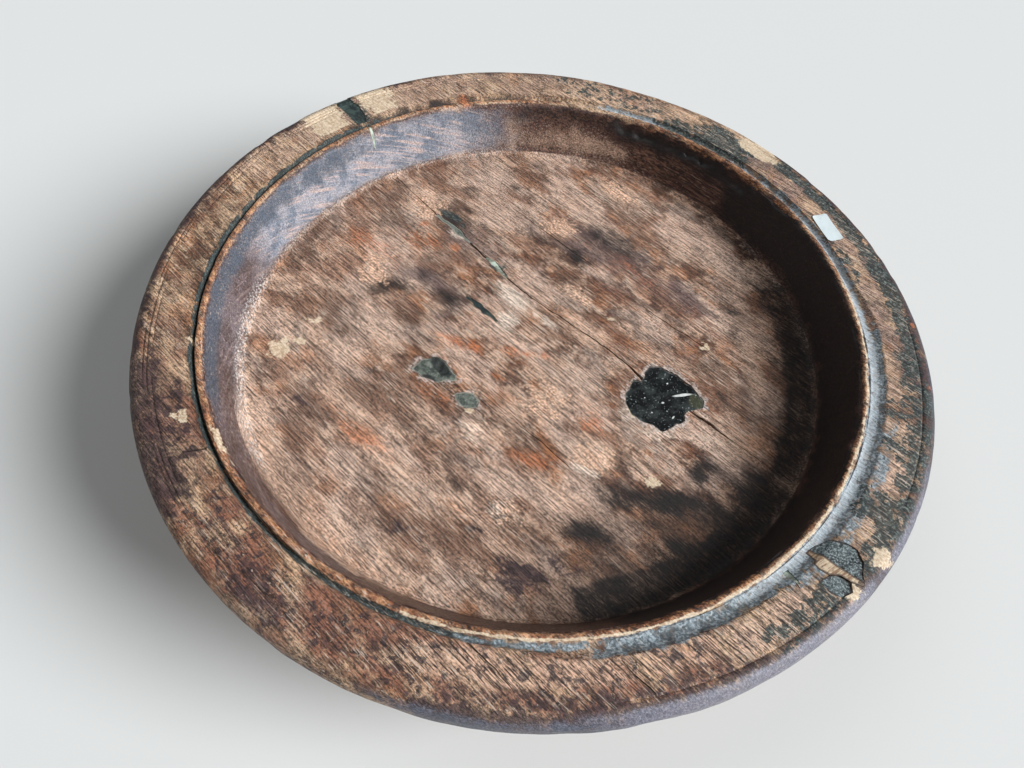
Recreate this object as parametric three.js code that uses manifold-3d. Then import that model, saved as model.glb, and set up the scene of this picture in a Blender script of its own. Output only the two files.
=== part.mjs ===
import * as THREE from 'three';
import { mergeVertices } from 'three/addons/utils/BufferGeometryUtils.js';
import loadSolids from 'manifold-3d';

// A turned wooden dish with a flat rim, on a separate pedestal, mended with filler.
// All lengths are millimetres. The origin is on the table under the middle of the foot,
// with +Z up, +X to the right and +Y to the back. Azimuths are degrees from +X towards +Y.

const solids = await loadSolids();
solids.setup();

// Driving dimensions of the dish
const LIP_HEIGHT = 120;
const LIP_RADIUS = 210;
const LIP_WIDTH = 4.7;
const GROOVE_WIDTH = 4.6;
const GROOVE_DEPTH = 3;
const RIM_RADIUS = 254;
const RIM_RISE = 1;
const RIM_THICKNESS = 22;
const RIM_EDGE_WIDTH = 9;
const RIM_EDGE_HEIGHT = 8;
const RIM_UNDER_ROUND = 8;
const INCISED_LINE_WIDTH = 1.2;
const INCISED_LINE_DEPTH = 0.6;
const DISH_DEPTH = 39;
const FLOOR_RADIUS = 194.5;
const FLOOR_CORNER = 3.5;
const FLOOR_THICKNESS = 14;
const BELLY_START = 24;
const BELLY_BULGE = 19;
const BELLY_END = 23;
const BOSS_RADIUS = 76;
const BOSS_DROP = 6;
const BOSS_BEVEL = 2.5;

// The slab has shrunk across its grain, so the rim is a little out of round.
// Each wave has its height, its number of lobes and the azimuth of one lobe.
const RIM_WAVES = [
  { height: 1.2, lobes: 1, azimuth: -83 },
  { height: 1.6, lobes: 2, azimuth: -40 },
  { height: 1.2, lobes: 3, azimuth: 0 },
];

// Driving dimensions of the pedestal and its joint
const TENON_RADIUS = 48;
const TENON_HEIGHT = 11;
const TENON_BEVEL = 1;
const PITCH_THICKNESS = 1.6;
const SHOULDER_RADIUS = 68;
const SHOULDER_HEIGHT = 5;
const WAIST_RADIUS = 58;
const FOOT_RADIUS = 105;
const FOOT_HEIGHT = 11;
const FOOT_ROUND = 3;
const FOOT_STEP = 9;
const FOOT_RING_WIDTH = 24;
const FOOT_HOLLOW_DEPTH = 24;

// Driving dimensions of the mends and the label
const CRACK_DEPTH = 5;
const PLUG_DEPTH = 8;
const FLOOR_FILL_DEPTH = 4;
const RIM_FILL_DEPTH = 5;
const FAR_FILL_DEPTH = 11;
const SPLINT_DEPTH = 6;
const WALL_FILL_DEPTH = 14;
const LABEL_LENGTH = 26;
const LABEL_WIDTH = 12;
const LABEL_THICKNESS = 0.3;
const LABEL_CORNER = 2;
const LABEL_INSET = 1.2;
const LABEL_AZIMUTH = 28.3;
const LABEL_TILT = -5;

// Every piece that is let into another keeps this gap to it.
const FIT_GAP = 0.3;
const CUT_MARGIN = 2;

const DISH_SEGMENTS = 80;
const PEDESTAL_SEGMENTS = 48;
const CURVE_STEPS = 5;
const EDGE_STEPS = 3;

// Heights and radii that follow from the driving dimensions
const FLOOR_TOP = LIP_HEIGHT - DISH_DEPTH;
const FLOOR_UNDER = FLOOR_TOP - FLOOR_THICKNESS;
const SEAT_HEIGHT = FLOOR_UNDER - BOSS_DROP;
const RIM_TOP = LIP_HEIGHT + RIM_RISE;
const RIM_UNDER = RIM_TOP - RIM_THICKNESS;
const WALL_SLOPE = (LIP_RADIUS - FLOOR_RADIUS) / DISH_DEPTH;
const RIM_INNER = LIP_RADIUS + LIP_WIDTH + GROOVE_WIDTH;
const RIM_SPAN = RIM_RADIUS - RIM_INNER;
const TENON_TOP = SEAT_HEIGHT + TENON_HEIGHT;
const SOCKET_RADIUS = TENON_RADIUS + PITCH_THICKNESS + 2 * FIT_GAP;
const SOCKET_ROOF = TENON_TOP + PITCH_THICKNESS + 2 * FIT_GAP;

// Two checks in the slab run along the grain, from the far wall to the plug and from the
// plug to the near wall. Each point has its place on the floor and the width of the check,
// and the points near the wall are placed by their distance from it.
const FAR_CRACK = [
  nearWall(131, 1, 0.8),
  nearWall(130.2, 24.2, 1.2),
  { x: -90, y: 113, width: 1.4 },
  { x: -60, y: 88, width: 1.6 },
  { x: -40, y: 69, width: 1.8 },
  { x: -20, y: 50.5, width: 1.6 },
  { x: 0, y: 36, width: 1.2 },
  { x: 25, y: 19.5, width: 1.2 },
  { x: 50, y: 4, width: 1.6 },
  { x: 65, y: -8, width: 1.8 },
  { x: 80, y: -22, width: 2 },
];
const NEAR_CRACK = [
  { x: 106, y: -37, width: 1.6 },
  { x: 120, y: -47, width: 2.6 },
  { x: 133, y: -55, width: 1.4 },
  nearWall(-24.3, 26.7, 1),
  nearWall(-25.2, 8.9, 0.8),
];

// Fillings that lie along the checks and the grain, given like a crack
const UPPER_CRACK_FILL = [
  { x: -87, y: 110, width: 1.8 },
  { x: -77, y: 102.5, width: 4 },
  { x: -67, y: 94.5, width: 4.4 },
  { x: -57, y: 85.5, width: 1.8 },
];
const MIDDLE_CRACK_FILL = [
  { x: -43, y: 72, width: 1.8 },
  { x: -37, y: 68, width: 4.6 },
  { x: -31, y: 62, width: 4.2 },
  { x: -25, y: 55.5, width: 1.8 },
];
const SLIVER_FILL = [
  { x: -52, y: 32.5, width: 1.8 },
  { x: -44, y: 27.5, width: 4.2 },
  { x: -36, y: 21, width: 5 },
  { x: -27, y: 13.5, width: 1.8 },
];

// Outlines of the larger floor mends seen from above, as x and y
const PLUG_OUTLINE = [
  [77, -21], [78.5, -12], [82, -7.5], [90, -6.5], [98, -10.5], [109, -18], [114, -24],
  [118.5, -30], [118, -36], [109, -39], [105.5, -43], [106, -48], [98, -54], [91, -58.5],
  [84, -55], [76, -52], [70, -48], [66.5, -40], [65.5, -33], [68.5, -26], [71, -20],
];
const LEFT_FILL_OUTLINE = [
  [-79, -34], [-75, -28.5], [-67, -24], [-60, -24], [-53, -30], [-46, -39.5], [-51, -41],
  [-60, -43.5], [-68, -41.5], [-75, -38],
];
const LOWER_FILL_OUTLINE = [
  [-47, -51], [-41, -48.5], [-34, -49], [-29.5, -53], [-30, -58.5], [-36, -60.5], [-41, -59],
  [-45, -55.5],
];

// Outlines of the rim mends. The first number is a share of the rim's flat and edge,
// 0 at its inner edge and 1 at the outer, and the second a distance along the rim.
const FAR_MEND_AZIMUTH = 133;
const FAR_MEND_OUTLINE = [
  [1.06, -1.8], [1.06, 8.8], [0.78, 10.7], [0.54, 8.9], [0.28, 9.4], [-0.04, 8],
  [-0.04, 1], [0.24, -2], [0.51, -3.8], [0.78, -1.4],
];
const SPLINT_AZIMUTH = 318;
const SPLINT_LEFT_SIDE = [[-0.04, 2.9], [0.16, 4.5], [0.43, 5.8], [0.69, 7.8], [0.86, 9.3]];
const SPLINT_RIGHT_SIDE = [[0.89, 7.4], [0.72, 3.8], [0.53, 2.1], [0.41, -2.3]];
const SPLINT_TAIL = [[0.25, -3.8], [0.16, -3.3], [0.13, -0.8], [-0.04, 0]];
const LEFT_OF_SPLINT = [
  [0.76, 12], [0.65, 18.5], [0.47, 22], [0.28, 20.6], [0.07, 15.3], [-0.02, 7],
];
const RIGHT_OF_SPLINT = [[0.38, -8.7], [0.6, -9.8], [0.76, -6.9], [0.82, 0]];
const NOTCH_AZIMUTH = 312.5;
const NOTCH_OUTLINE = [
  [-0.04, 1.6], [0.06, 2], [0.22, 2.6], [0.22, 3.8], [0.08, 5], [-0.04, 5.8],
];

// The far check also crosses the lip and runs down the wall, where it is filled.
const WALL_MEND_AZIMUTH = 133.5;
const WALL_MEND_WIDTH = 2.6;

const LOOKS = {
  wood: { color: 0x7a5a47, roughness: 0.72, metalness: 0 },
  pitch: { color: 0x17130f, roughness: 0.5, metalness: 0 },
  resin: { color: 0x1a1f1d, roughness: 0.45, metalness: 0 },
  filler: { color: 0x5f6a60, roughness: 0.85, metalness: 0 },
  paleFiller: { color: 0xb9c4b4, roughness: 0.85, metalness: 0 },
  paint: { color: 0x2a3a38, roughness: 0.6, metalness: 0 },
  splint: { color: 0xc7b38d, roughness: 0.8, metalness: 0 },
  label: { color: 0xe6ebee, roughness: 0.6, metalness: 0 },
};

// Turns degrees of azimuth and a radius into x and y.
function around(azimuth, radius) {
  const angle = THREE.MathUtils.degToRad(azimuth);
  return [radius * Math.cos(angle), radius * Math.sin(angle)];
}

// Gives a point at a radius on an azimuth, moved sideways along the rim.
function beside(azimuth, radius, sideways) {
  const [x, y] = around(azimuth, radius);
  const [stepX, stepY] = around(azimuth + 90, sideways);
  return [x + stepX, y + stepY];
}

// Quarter of an ellipse about a centre, from one angle to another, as profile points
function roundedCorner(centre, across, high, fromDegrees, toDegrees) {
  const points = [];
  for (let i = 0; i <= EDGE_STEPS; i += 1) {
    const degrees = fromDegrees + ((toDegrees - fromDegrees) * i) / EDGE_STEPS;
    const [share, rise] = around(degrees, 1);
    points.push([centre[0] + across * share, centre[1] + high * rise]);
  }
  return points;
}

// Smooth sweep through a control point, as profile points
function sweep(from, control, to) {
  const curve = new THREE.QuadraticBezierCurve(
    new THREE.Vector2(...from),
    new THREE.Vector2(...control),
    new THREE.Vector2(...to),
  );
  return curve.getPoints(CURVE_STEPS).map((point) => [point.x, point.y]);
}

// Spins a profile of radius and height about the Z axis.
function turned(profile, segments) {
  const points = profile.map(([radius, height]) => new THREE.Vector2(radius, height));
  const geometry = new THREE.LatheGeometry(points, segments);
  geometry.rotateX(Math.PI / 2);
  return geometry;
}

// Pulls an outline up between two heights.
function prism(outline, bottom, top) {
  const shape = new THREE.Shape(outline.map(([x, y]) => new THREE.Vector2(x, y)));
  const geometry = new THREE.ExtrudeGeometry(shape, { depth: top - bottom, bevelEnabled: false });
  geometry.translate(0, 0, bottom);
  return geometry;
}

// Makes a solid from a closed surface, once its shared corners are joined.
function solidFrom(geometry) {
  const surface = geometry.clone();
  surface.deleteAttribute('normal');
  surface.deleteAttribute('uv');
  const merged = mergeVertices(surface);
  const corners = merged.index.array;
  const triangles = [];
  for (let i = 0; i < corners.length; i += 3) {
    const [a, b, c] = corners.slice(i, i + 3);
    if (a !== b && b !== c && c !== a) {
      triangles.push(a, b, c);
    }
  }
  return new solids.Manifold(new solids.Mesh({
    numProp: 3,
    vertProperties: Float32Array.from(merged.attributes.position.array),
    triVerts: Uint32Array.from(triangles),
  }));
}

// Turns a solid into a named mesh with its own material.
function piece(name, solid, look) {
  const surface = solid.getMesh();
  const geometry = new THREE.BufferGeometry();
  geometry.setAttribute('position', new THREE.BufferAttribute(surface.vertProperties, 3));
  geometry.setIndex(new THREE.BufferAttribute(surface.triVerts, 1));
  geometry.computeVertexNormals();
  const mesh = new THREE.Mesh(geometry, new THREE.MeshStandardMaterial(look));
  mesh.name = name;
  return mesh;
}

// Draws an outline in on all sides by the same distance.
function drawnIn(outline, distance) {
  const turn = Math.sign(THREE.ShapeUtils.area(outline.map(([x, y]) => new THREE.Vector2(x, y))));
  const count = outline.length;
  const normals = outline.map(([x, y], i) => {
    const [nextX, nextY] = outline[(i + 1) % count];
    const length = Math.hypot(nextX - x, nextY - y);
    return [(-turn * (nextY - y)) / length, (turn * (nextX - x)) / length];
  });
  return outline.map(([x, y], i) => {
    const before = normals[(i + count - 1) % count];
    const after = normals[i];
    const reach = distance / (1 + before[0] * after[0] + before[1] * after[1]);
    return [x + reach * (before[0] + after[0]), y + reach * (before[1] + after[1])];
  });
}

// Point of a crack at an azimuth and a distance in from the foot of the wall
function nearWall(azimuth, distance, width) {
  const [x, y] = around(azimuth, FLOOR_RADIUS - distance);
  return { x, y, width };
}

// Outline of a crack or of a strip along it, from points with a place and a width
function strip(points) {
  const left = [];
  const right = [];
  points.forEach((point, i) => {
    const before = points[Math.max(i - 1, 0)];
    const after = points[Math.min(i + 1, points.length - 1)];
    const length = Math.hypot(after.x - before.x, after.y - before.y);
    const sideX = (-(after.y - before.y) / length) * (point.width / 2);
    const sideY = ((after.x - before.x) / length) * (point.width / 2);
    left.push([point.x + sideX, point.y + sideY]);
    right.unshift([point.x - sideX, point.y - sideY]);
  });
  return [...left, ...right];
}

// Outline of a rim mend from shares of the rim's span and distances along the rim
function onRim(azimuth, outline) {
  return outline.map(([share, sideways]) => {
    const radius = RIM_INNER + share * RIM_SPAN;
    return beside(azimuth, radius, sideways);
  });
}

// How far the rim's edge stands out of a true circle at an azimuth
function outOfRound(azimuth) {
  return RIM_WAVES.reduce((sum, wave) => {
    const angle = THREE.MathUtils.degToRad(wave.lobes * (azimuth - wave.azimuth));
    return sum + wave.height * Math.cos(angle);
  }, 0);
}

// Lets the rim run out of round, fully at its edge and not at all at the groove.
function shrunkAcrossGrain(geometry) {
  const places = geometry.attributes.position;
  for (let i = 0; i < places.count; i += 1) {
    const x = places.getX(i);
    const y = places.getY(i);
    const radius = Math.hypot(x, y);
    const share = THREE.MathUtils.clamp((radius - RIM_INNER) / RIM_SPAN, 0, 1);
    if (share > 0) {
      const azimuth = THREE.MathUtils.radToDeg(Math.atan2(y, x));
      const stretch = 1 + (share * outOfRound(azimuth)) / radius;
      places.setXY(i, x * stretch, y * stretch);
    }
  }
  return geometry;
}

// Underside of the dish from its axis out to the rim: socket, boss, floor and belly
function dishUnderside() {
  return [
    [0, SOCKET_ROOF],
    [SOCKET_RADIUS, SOCKET_ROOF],
    [SOCKET_RADIUS, SEAT_HEIGHT],
    [BOSS_RADIUS - BOSS_BEVEL, SEAT_HEIGHT],
    [BOSS_RADIUS, SEAT_HEIGHT + BOSS_BEVEL],
    [BOSS_RADIUS + BOSS_BEVEL, FLOOR_UNDER],
    ...sweep(
      [FLOOR_RADIUS - BELLY_START, FLOOR_UNDER],
      [FLOOR_RADIUS + BELLY_BULGE, FLOOR_UNDER],
      [FLOOR_RADIUS + BELLY_END, RIM_UNDER],
    ),
  ];
}

// Half-round outer edge of the rim, then its flat with the incised line
function rimEdgeAndFlat() {
  const lineRadius = RIM_RADIUS - RIM_EDGE_WIDTH;
  return [
    ...roundedCorner(
      [RIM_RADIUS - RIM_UNDER_ROUND, RIM_UNDER + RIM_UNDER_ROUND],
      RIM_UNDER_ROUND,
      RIM_UNDER_ROUND,
      -90,
      0,
    ),
    ...roundedCorner(
      [lineRadius, RIM_TOP - RIM_EDGE_HEIGHT],
      RIM_EDGE_WIDTH,
      RIM_EDGE_HEIGHT,
      0,
      90,
    ),
    [lineRadius - INCISED_LINE_WIDTH / 2, RIM_TOP - INCISED_LINE_DEPTH],
    [lineRadius - INCISED_LINE_WIDTH, RIM_TOP],
    [RIM_INNER, RIM_TOP],
  ];
}

// Groove inside the rim, the raised lip, the sloping wall and the flat floor
function grooveLipAndBowl() {
  const grooveFloor = LIP_HEIGHT - GROOVE_DEPTH;
  const lipEdge = LIP_WIDTH / 4;
  const wallFoot = FLOOR_RADIUS + WALL_SLOPE * FLOOR_CORNER;
  return [
    [RIM_INNER - GROOVE_WIDTH / 3, grooveFloor],
    [RIM_INNER - (GROOVE_WIDTH * 2) / 3, grooveFloor],
    [LIP_RADIUS + LIP_WIDTH, LIP_HEIGHT - lipEdge],
    [LIP_RADIUS + LIP_WIDTH - lipEdge, LIP_HEIGHT],
    [LIP_RADIUS + lipEdge, LIP_HEIGHT],
    [LIP_RADIUS - WALL_SLOPE * lipEdge, LIP_HEIGHT - lipEdge],
    ...sweep(
      [wallFoot, FLOOR_TOP + FLOOR_CORNER],
      [FLOOR_RADIUS, FLOOR_TOP],
      [FLOOR_RADIUS - FLOOR_CORNER, FLOOR_TOP],
    ),
    [0, FLOOR_TOP],
  ];
}

function dishBlank() {
  const profile = [...dishUnderside(), ...rimEdgeAndFlat(), ...grooveLipAndBowl()];
  return solidFrom(shrunkAcrossGrain(turned(profile, DISH_SEGMENTS)));
}

// Turned foot with a waist, hollowed from below, and a round tenon on its shoulder
function pedestal() {
  const footInner = FOOT_RADIUS - FOOT_RING_WIDTH;
  const shoulderUnder = SEAT_HEIGHT - SHOULDER_HEIGHT;
  const middle = (FOOT_HEIGHT + shoulderUnder) / 2;
  const edge = FOOT_RADIUS - FOOT_ROUND;
  const profile = [
    ...sweep([0, FOOT_HOLLOW_DEPTH], [footInner, FOOT_HOLLOW_DEPTH], [footInner, 0]),
    ...roundedCorner([edge, FOOT_ROUND], FOOT_ROUND, FOOT_ROUND, -90, 0),
    ...roundedCorner([edge, FOOT_HEIGHT - FOOT_ROUND], FOOT_ROUND, FOOT_ROUND, 0, 90),
    ...sweep(
      [FOOT_RADIUS - FOOT_STEP, FOOT_HEIGHT],
      [WAIST_RADIUS, middle],
      [SHOULDER_RADIUS, shoulderUnder],
    ),
    [SHOULDER_RADIUS, SEAT_HEIGHT],
    [TENON_RADIUS, SEAT_HEIGHT],
    [TENON_RADIUS, TENON_TOP - TENON_BEVEL],
    [TENON_RADIUS - TENON_BEVEL, TENON_TOP],
    [0, TENON_TOP],
  ];
  return solidFrom(turned(profile, PEDESTAL_SEGMENTS));
}

// Black pitch round and over the tenon, standing on the pedestal's shoulder
function pitchBed() {
  const inner = TENON_RADIUS + FIT_GAP;
  const outer = SOCKET_RADIUS - FIT_GAP;
  const profile = [
    [0, TENON_TOP + FIT_GAP],
    [inner, TENON_TOP + FIT_GAP],
    [inner, SEAT_HEIGHT],
    [outer, SEAT_HEIGHT],
    [outer, SOCKET_ROOF - FIT_GAP],
    [0, SOCKET_ROOF - FIT_GAP],
  ];
  return solidFrom(turned(profile, PEDESTAL_SEGMENTS));
}

// Paper label with rounded corners, flat on the rim and a little askew to it
function label() {
  const halfLength = LABEL_LENGTH / 2 - LABEL_CORNER;
  const halfWidth = LABEL_WIDTH / 2 - LABEL_CORNER;
  const outline = [
    ...roundedCorner([halfWidth, halfLength], LABEL_CORNER, LABEL_CORNER, 0, 90),
    ...roundedCorner([-halfWidth, halfLength], LABEL_CORNER, LABEL_CORNER, 90, 180),
    ...roundedCorner([-halfWidth, -halfLength], LABEL_CORNER, LABEL_CORNER, 180, 270),
    ...roundedCorner([halfWidth, -halfLength], LABEL_CORNER, LABEL_CORNER, 270, 360),
  ];
  const radius = RIM_INNER + LABEL_INSET + LABEL_WIDTH / 2;
  const [middleX, middleY] = around(LABEL_AZIMUTH, radius);
  const placed = outline.map(([out, along]) => {
    const [x, y] = beside(LABEL_AZIMUTH + LABEL_TILT, out, along);
    return [middleX + x, middleY + y];
  });
  return solidFrom(prism(placed, RIM_TOP, RIM_TOP + LABEL_THICKNESS));
}

// Radial slot down the bowl's wall where a check crosses the lip
function wallMendOutline() {
  const foot = LIP_RADIUS - WALL_SLOPE * WALL_FILL_DEPTH - CUT_MARGIN;
  const back = LIP_RADIUS + LIP_WIDTH + FIT_GAP;
  const half = WALL_MEND_WIDTH / 2;
  return [
    beside(WALL_MEND_AZIMUTH, foot, -half),
    beside(WALL_MEND_AZIMUTH, back, -half),
    beside(WALL_MEND_AZIMUTH, back, half),
    beside(WALL_MEND_AZIMUTH, foot, half),
  ];
}

// Every mend: its name, its outline from above, the surface it is let into, and its depth
const MENDS = [
  {
    name: 'floor_resin_plug',
    outline: PLUG_OUTLINE,
    surface: FLOOR_TOP,
    depth: PLUG_DEPTH,
    look: LOOKS.resin,
  },
  {
    name: 'floor_fill_left',
    outline: LEFT_FILL_OUTLINE,
    surface: FLOOR_TOP,
    depth: FLOOR_FILL_DEPTH,
    look: LOOKS.filler,
  },
  {
    name: 'floor_fill_lower',
    outline: LOWER_FILL_OUTLINE,
    surface: FLOOR_TOP,
    depth: FLOOR_FILL_DEPTH,
    look: LOOKS.filler,
  },
  {
    name: 'floor_fill_sliver',
    outline: strip(SLIVER_FILL),
    surface: FLOOR_TOP,
    depth: FLOOR_FILL_DEPTH,
    look: LOOKS.paint,
  },
  {
    name: 'crack_fill_upper',
    outline: strip(UPPER_CRACK_FILL),
    surface: FLOOR_TOP,
    depth: CRACK_DEPTH,
    look: LOOKS.filler,
  },
  {
    name: 'crack_fill_middle',
    outline: strip(MIDDLE_CRACK_FILL),
    surface: FLOOR_TOP,
    depth: CRACK_DEPTH,
    look: LOOKS.paleFiller,
  },
  {
    name: 'wall_crack_fill',
    outline: wallMendOutline(),
    surface: LIP_HEIGHT,
    depth: WALL_FILL_DEPTH,
    look: LOOKS.paleFiller,
  },
  {
    name: 'rim_fill_far',
    outline: onRim(FAR_MEND_AZIMUTH, FAR_MEND_OUTLINE),
    surface: RIM_TOP,
    depth: FAR_FILL_DEPTH,
    look: LOOKS.paint,
  },
  {
    name: 'rim_splint',
    outline: onRim(SPLINT_AZIMUTH, [...SPLINT_LEFT_SIDE, ...SPLINT_RIGHT_SIDE, ...SPLINT_TAIL]),
    surface: RIM_TOP,
    depth: SPLINT_DEPTH,
    look: LOOKS.splint,
  },
  {
    name: 'rim_fill_left_of_splint',
    outline: onRim(SPLINT_AZIMUTH, [...SPLINT_LEFT_SIDE, ...LEFT_OF_SPLINT]),
    surface: RIM_TOP,
    depth: RIM_FILL_DEPTH,
    look: LOOKS.filler,
  },
  {
    name: 'rim_fill_right_of_splint',
    outline: onRim(SPLINT_AZIMUTH, [...SPLINT_RIGHT_SIDE.slice(1), ...RIGHT_OF_SPLINT]),
    surface: RIM_TOP,
    depth: RIM_FILL_DEPTH,
    look: LOOKS.filler,
  },
  {
    name: 'rim_notch_fill',
    outline: onRim(NOTCH_AZIMUTH, NOTCH_OUTLINE),
    surface: RIM_TOP,
    depth: RIM_FILL_DEPTH,
    look: LOOKS.paleFiller,
  },
];

// What a pocket takes away: all inside its outline, from its depth to just over its surface
function pocket(outline, surface, depth) {
  return solidFrom(prism(outline, surface - depth, surface + CUT_MARGIN));
}

const blank = dishBlank();

// The filling of a mend: what its pocket takes out of the dish, less the gap all round
function filling({ outline, surface, depth }) {
  return blank.intersect(pocket(drawnIn(outline, FIT_GAP), surface, depth - FIT_GAP));
}

// The dish with its open cracks and the pockets of its mends. Pockets that share a side are
// joined before they are cut, so nothing is left standing between them.
function dish() {
  const cracks = [FAR_CRACK, NEAR_CRACK].map((crack) => pocket(strip(crack), FLOOR_TOP, CRACK_DEPTH));
  const pockets = MENDS.map((mend) => pocket(mend.outline, mend.surface, mend.depth));
  return blank.subtract(solids.Manifold.union([...cracks, ...pockets]));
}

const pedestalDish = new THREE.Group();
pedestalDish.add(
  piece('dish', dish(), LOOKS.wood),
  piece('pedestal', pedestal(), LOOKS.wood),
  piece('tenon_pitch_bed', pitchBed(), LOOKS.pitch),
  ...MENDS.map((mend) => piece(mend.name, filling(mend), mend.look)),
  piece('lot_label', label(), LOOKS.label),
);

export default pedestalDish;
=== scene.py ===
"""Worn wooden pedestal dish on a pale floor, in metres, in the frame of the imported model.

The shapes are worked out in millimetres and scaled by MM when a mesh is made. Azimuths are
degrees from +X towards +Y, and heights are above the table.
"""

import math

import bpy
import numpy as np
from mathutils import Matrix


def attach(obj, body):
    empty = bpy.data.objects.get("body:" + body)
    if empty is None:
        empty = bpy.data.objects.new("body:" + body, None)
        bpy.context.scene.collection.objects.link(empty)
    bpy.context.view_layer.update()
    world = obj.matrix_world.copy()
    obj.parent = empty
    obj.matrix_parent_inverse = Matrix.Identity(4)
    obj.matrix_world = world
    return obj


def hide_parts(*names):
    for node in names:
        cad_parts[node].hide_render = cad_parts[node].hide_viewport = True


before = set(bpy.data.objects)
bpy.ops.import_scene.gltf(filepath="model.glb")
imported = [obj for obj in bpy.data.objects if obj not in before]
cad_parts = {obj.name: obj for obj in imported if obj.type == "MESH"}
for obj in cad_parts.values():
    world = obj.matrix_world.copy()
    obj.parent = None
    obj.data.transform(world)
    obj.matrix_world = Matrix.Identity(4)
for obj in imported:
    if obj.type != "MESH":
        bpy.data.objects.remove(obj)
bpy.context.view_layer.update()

MM = 0.001
BODY = "root"

# Sizes of the dish, as in the solids
LIP_HEIGHT = 120.0
LIP_RADIUS = 210.0
LIP_WIDTH = 4.7
GROOVE_WIDTH = 4.6
GROOVE_DEPTH = 3.0
COVE_WIDTH = 9.5
RIM_RADIUS = 254.0
RIM_RISE = 1.0
RIM_THICKNESS = 22.0
EDGE_WIDTH = 9.0
EDGE_HEIGHT = 8.0
UNDER_ROUND = 8.0
LINE_DEPTH = 0.7
LINE_WIDTH = 1.2
DISH_DEPTH = 39.0
FLOOR_RADIUS = 194.5
FLOOR_CORNER = 3.5
FLOOR_THICKNESS = 14.0
BELLY_START = 24.0
BELLY_BULGE = 19.0
BELLY_END = 23.0
BOSS_RADIUS = 76.0
BOSS_DROP = 6.0
BOSS_BEVEL = 2.5
# Waves that put the rim out of round: height, number of lobes, and azimuth of a lobe
RIM_WAVES = [(1.2, 1, -83.0), (1.6, 2, -40.0), (1.2, 3, 0.0)]

# Wear of the dish, and the turned lines and groove of its rim
# Insets of the turned lines, in half widths of a line
LINE_INSETS = (0.0, 4.0, 9.0)
# Width of the wall's top that is torn
TORN_REACH = 6.0
# Drop from the lip's height to the groove's inner shoulder
SHOULDER_DROP = 0.6
# Where the groove is cut deep, it starts further in and is narrower
DEEP_SHIFT = 0.8
DEEP_NARROWING = 1.7
# Share of the lip's width where its crest goes over into the groove
CREST_SHARE = 0.86
# Half the width over which the groove goes over into the flat
FLAT_BLEND = 0.8
# Parts of the way round where the top differs: start, end and fade
COVE_SIDE = (283, 365, 12)
DEEP_SIDE = (140, 235, 14)
SHALLOW_SIDE = (-40, 84, 20)
TORN_SIDE = (36, 74, 8)
LINED_SIDE = (110, 240, 30)
# Chips in the rim and the lip: azimuth, radius, half length along the edge, half width and depth
CHIPS = [
    (264.4, 252.5, 4.0, 3.0, 1.6), (236.0, 253.0, 7.0, 2.5, 1.2), (205.0, 252.5, 5.0, 2.5, 1.2),
    (151.0, 252.0, 4.5, 2.5, 1.0), (97.0, 252.5, 6.0, 2.0, 1.0), (334.0, 252.0, 5.0, 2.5, 1.1),
    (210.6, 226.2, 2.6, 2.0, 0.5), (58.0, 252.5, 5.0, 2.0, 0.8),
]

# Sizes of the pedestal and its joint
TENON_RADIUS = 48.0
TENON_HEIGHT = 11.0
PITCH_THICKNESS = 1.6
# Room on both sides of the pitch, taken together
PITCH_ROOM = 0.6
SHOULDER_RADIUS = 68.0
SHOULDER_HEIGHT = 5.0
WAIST_RADIUS = 58.0
FOOT_RADIUS = 105.0
FOOT_HEIGHT = 11.0
FOOT_ROUND = 3.0
FOOT_STEP = 9.0
FOOT_RING_WIDTH = 24.0
FOOT_HOLLOW_DEPTH = 24.0
# Widths of the rubbed foot's edge and step, and where dust lies over the foot
FOOT_RUB = 4.0
STEP_RUB = 3.0
DUST_RISE = 3.0
DUST_REACH = 8.0

# Sizes of the mends and the label
CRACK_DEPTH = 5.0
HAIRLINE_DEPTH = 1.6
PLUG_DEPTH = 8.0
FLOOR_FILL_DEPTH = 4.0
RIM_FILL_DEPTH = 5.0
FAR_FILL_DEPTH = 11.0
SPLINT_DEPTH = 6.0
WALL_FILL_DEPTH = 14.0
WALL_FILL_AZIMUTH = 133.5
LABEL_LENGTH = 26.0
LABEL_WIDTH = 12.0
LABEL_CORNER = 2.0
LABEL_INSET = 1.2
LABEL_AZIMUTH = 28.3
LABEL_TILT = -5.0
LABEL_THICKNESS = 0.3
LABEL_GRID = (27, 13)
# Height of the label over the wood, and how much more its corners lift
LABEL_GLUE = 0.25
LABEL_LIFT = 0.5
# Gap between a mend and its pocket, and how far a cut reaches over the surface
FIT_GAP = 0.15
CUT_MARGIN = 3.0

# The grain of the slab runs along this azimuth.
GRAIN_AZIMUTH = -37.0

# Sizes that follow from the others
FLOOR_TOP = LIP_HEIGHT - DISH_DEPTH
FLOOR_UNDER = FLOOR_TOP - FLOOR_THICKNESS
SEAT_HEIGHT = FLOOR_UNDER - BOSS_DROP
RIM_TOP = LIP_HEIGHT + RIM_RISE
RIM_UNDER = RIM_TOP - RIM_THICKNESS
RIM_INNER = LIP_RADIUS + LIP_WIDTH + GROOVE_WIDTH
RIM_SPAN = RIM_RADIUS - RIM_INNER
WALL_SLOPE = (LIP_RADIUS - FLOOR_RADIUS) / DISH_DEPTH
CORNER_START = FLOOR_RADIUS - FLOOR_CORNER
CORNER_END = FLOOR_RADIUS + WALL_SLOPE * FLOOR_CORNER
TENON_TOP = SEAT_HEIGHT + TENON_HEIGHT
SOCKET_RADIUS = TENON_RADIUS + PITCH_THICKNESS + PITCH_ROOM
SOCKET_ROOF = TENON_TOP + PITCH_THICKNESS + PITCH_ROOM

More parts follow.
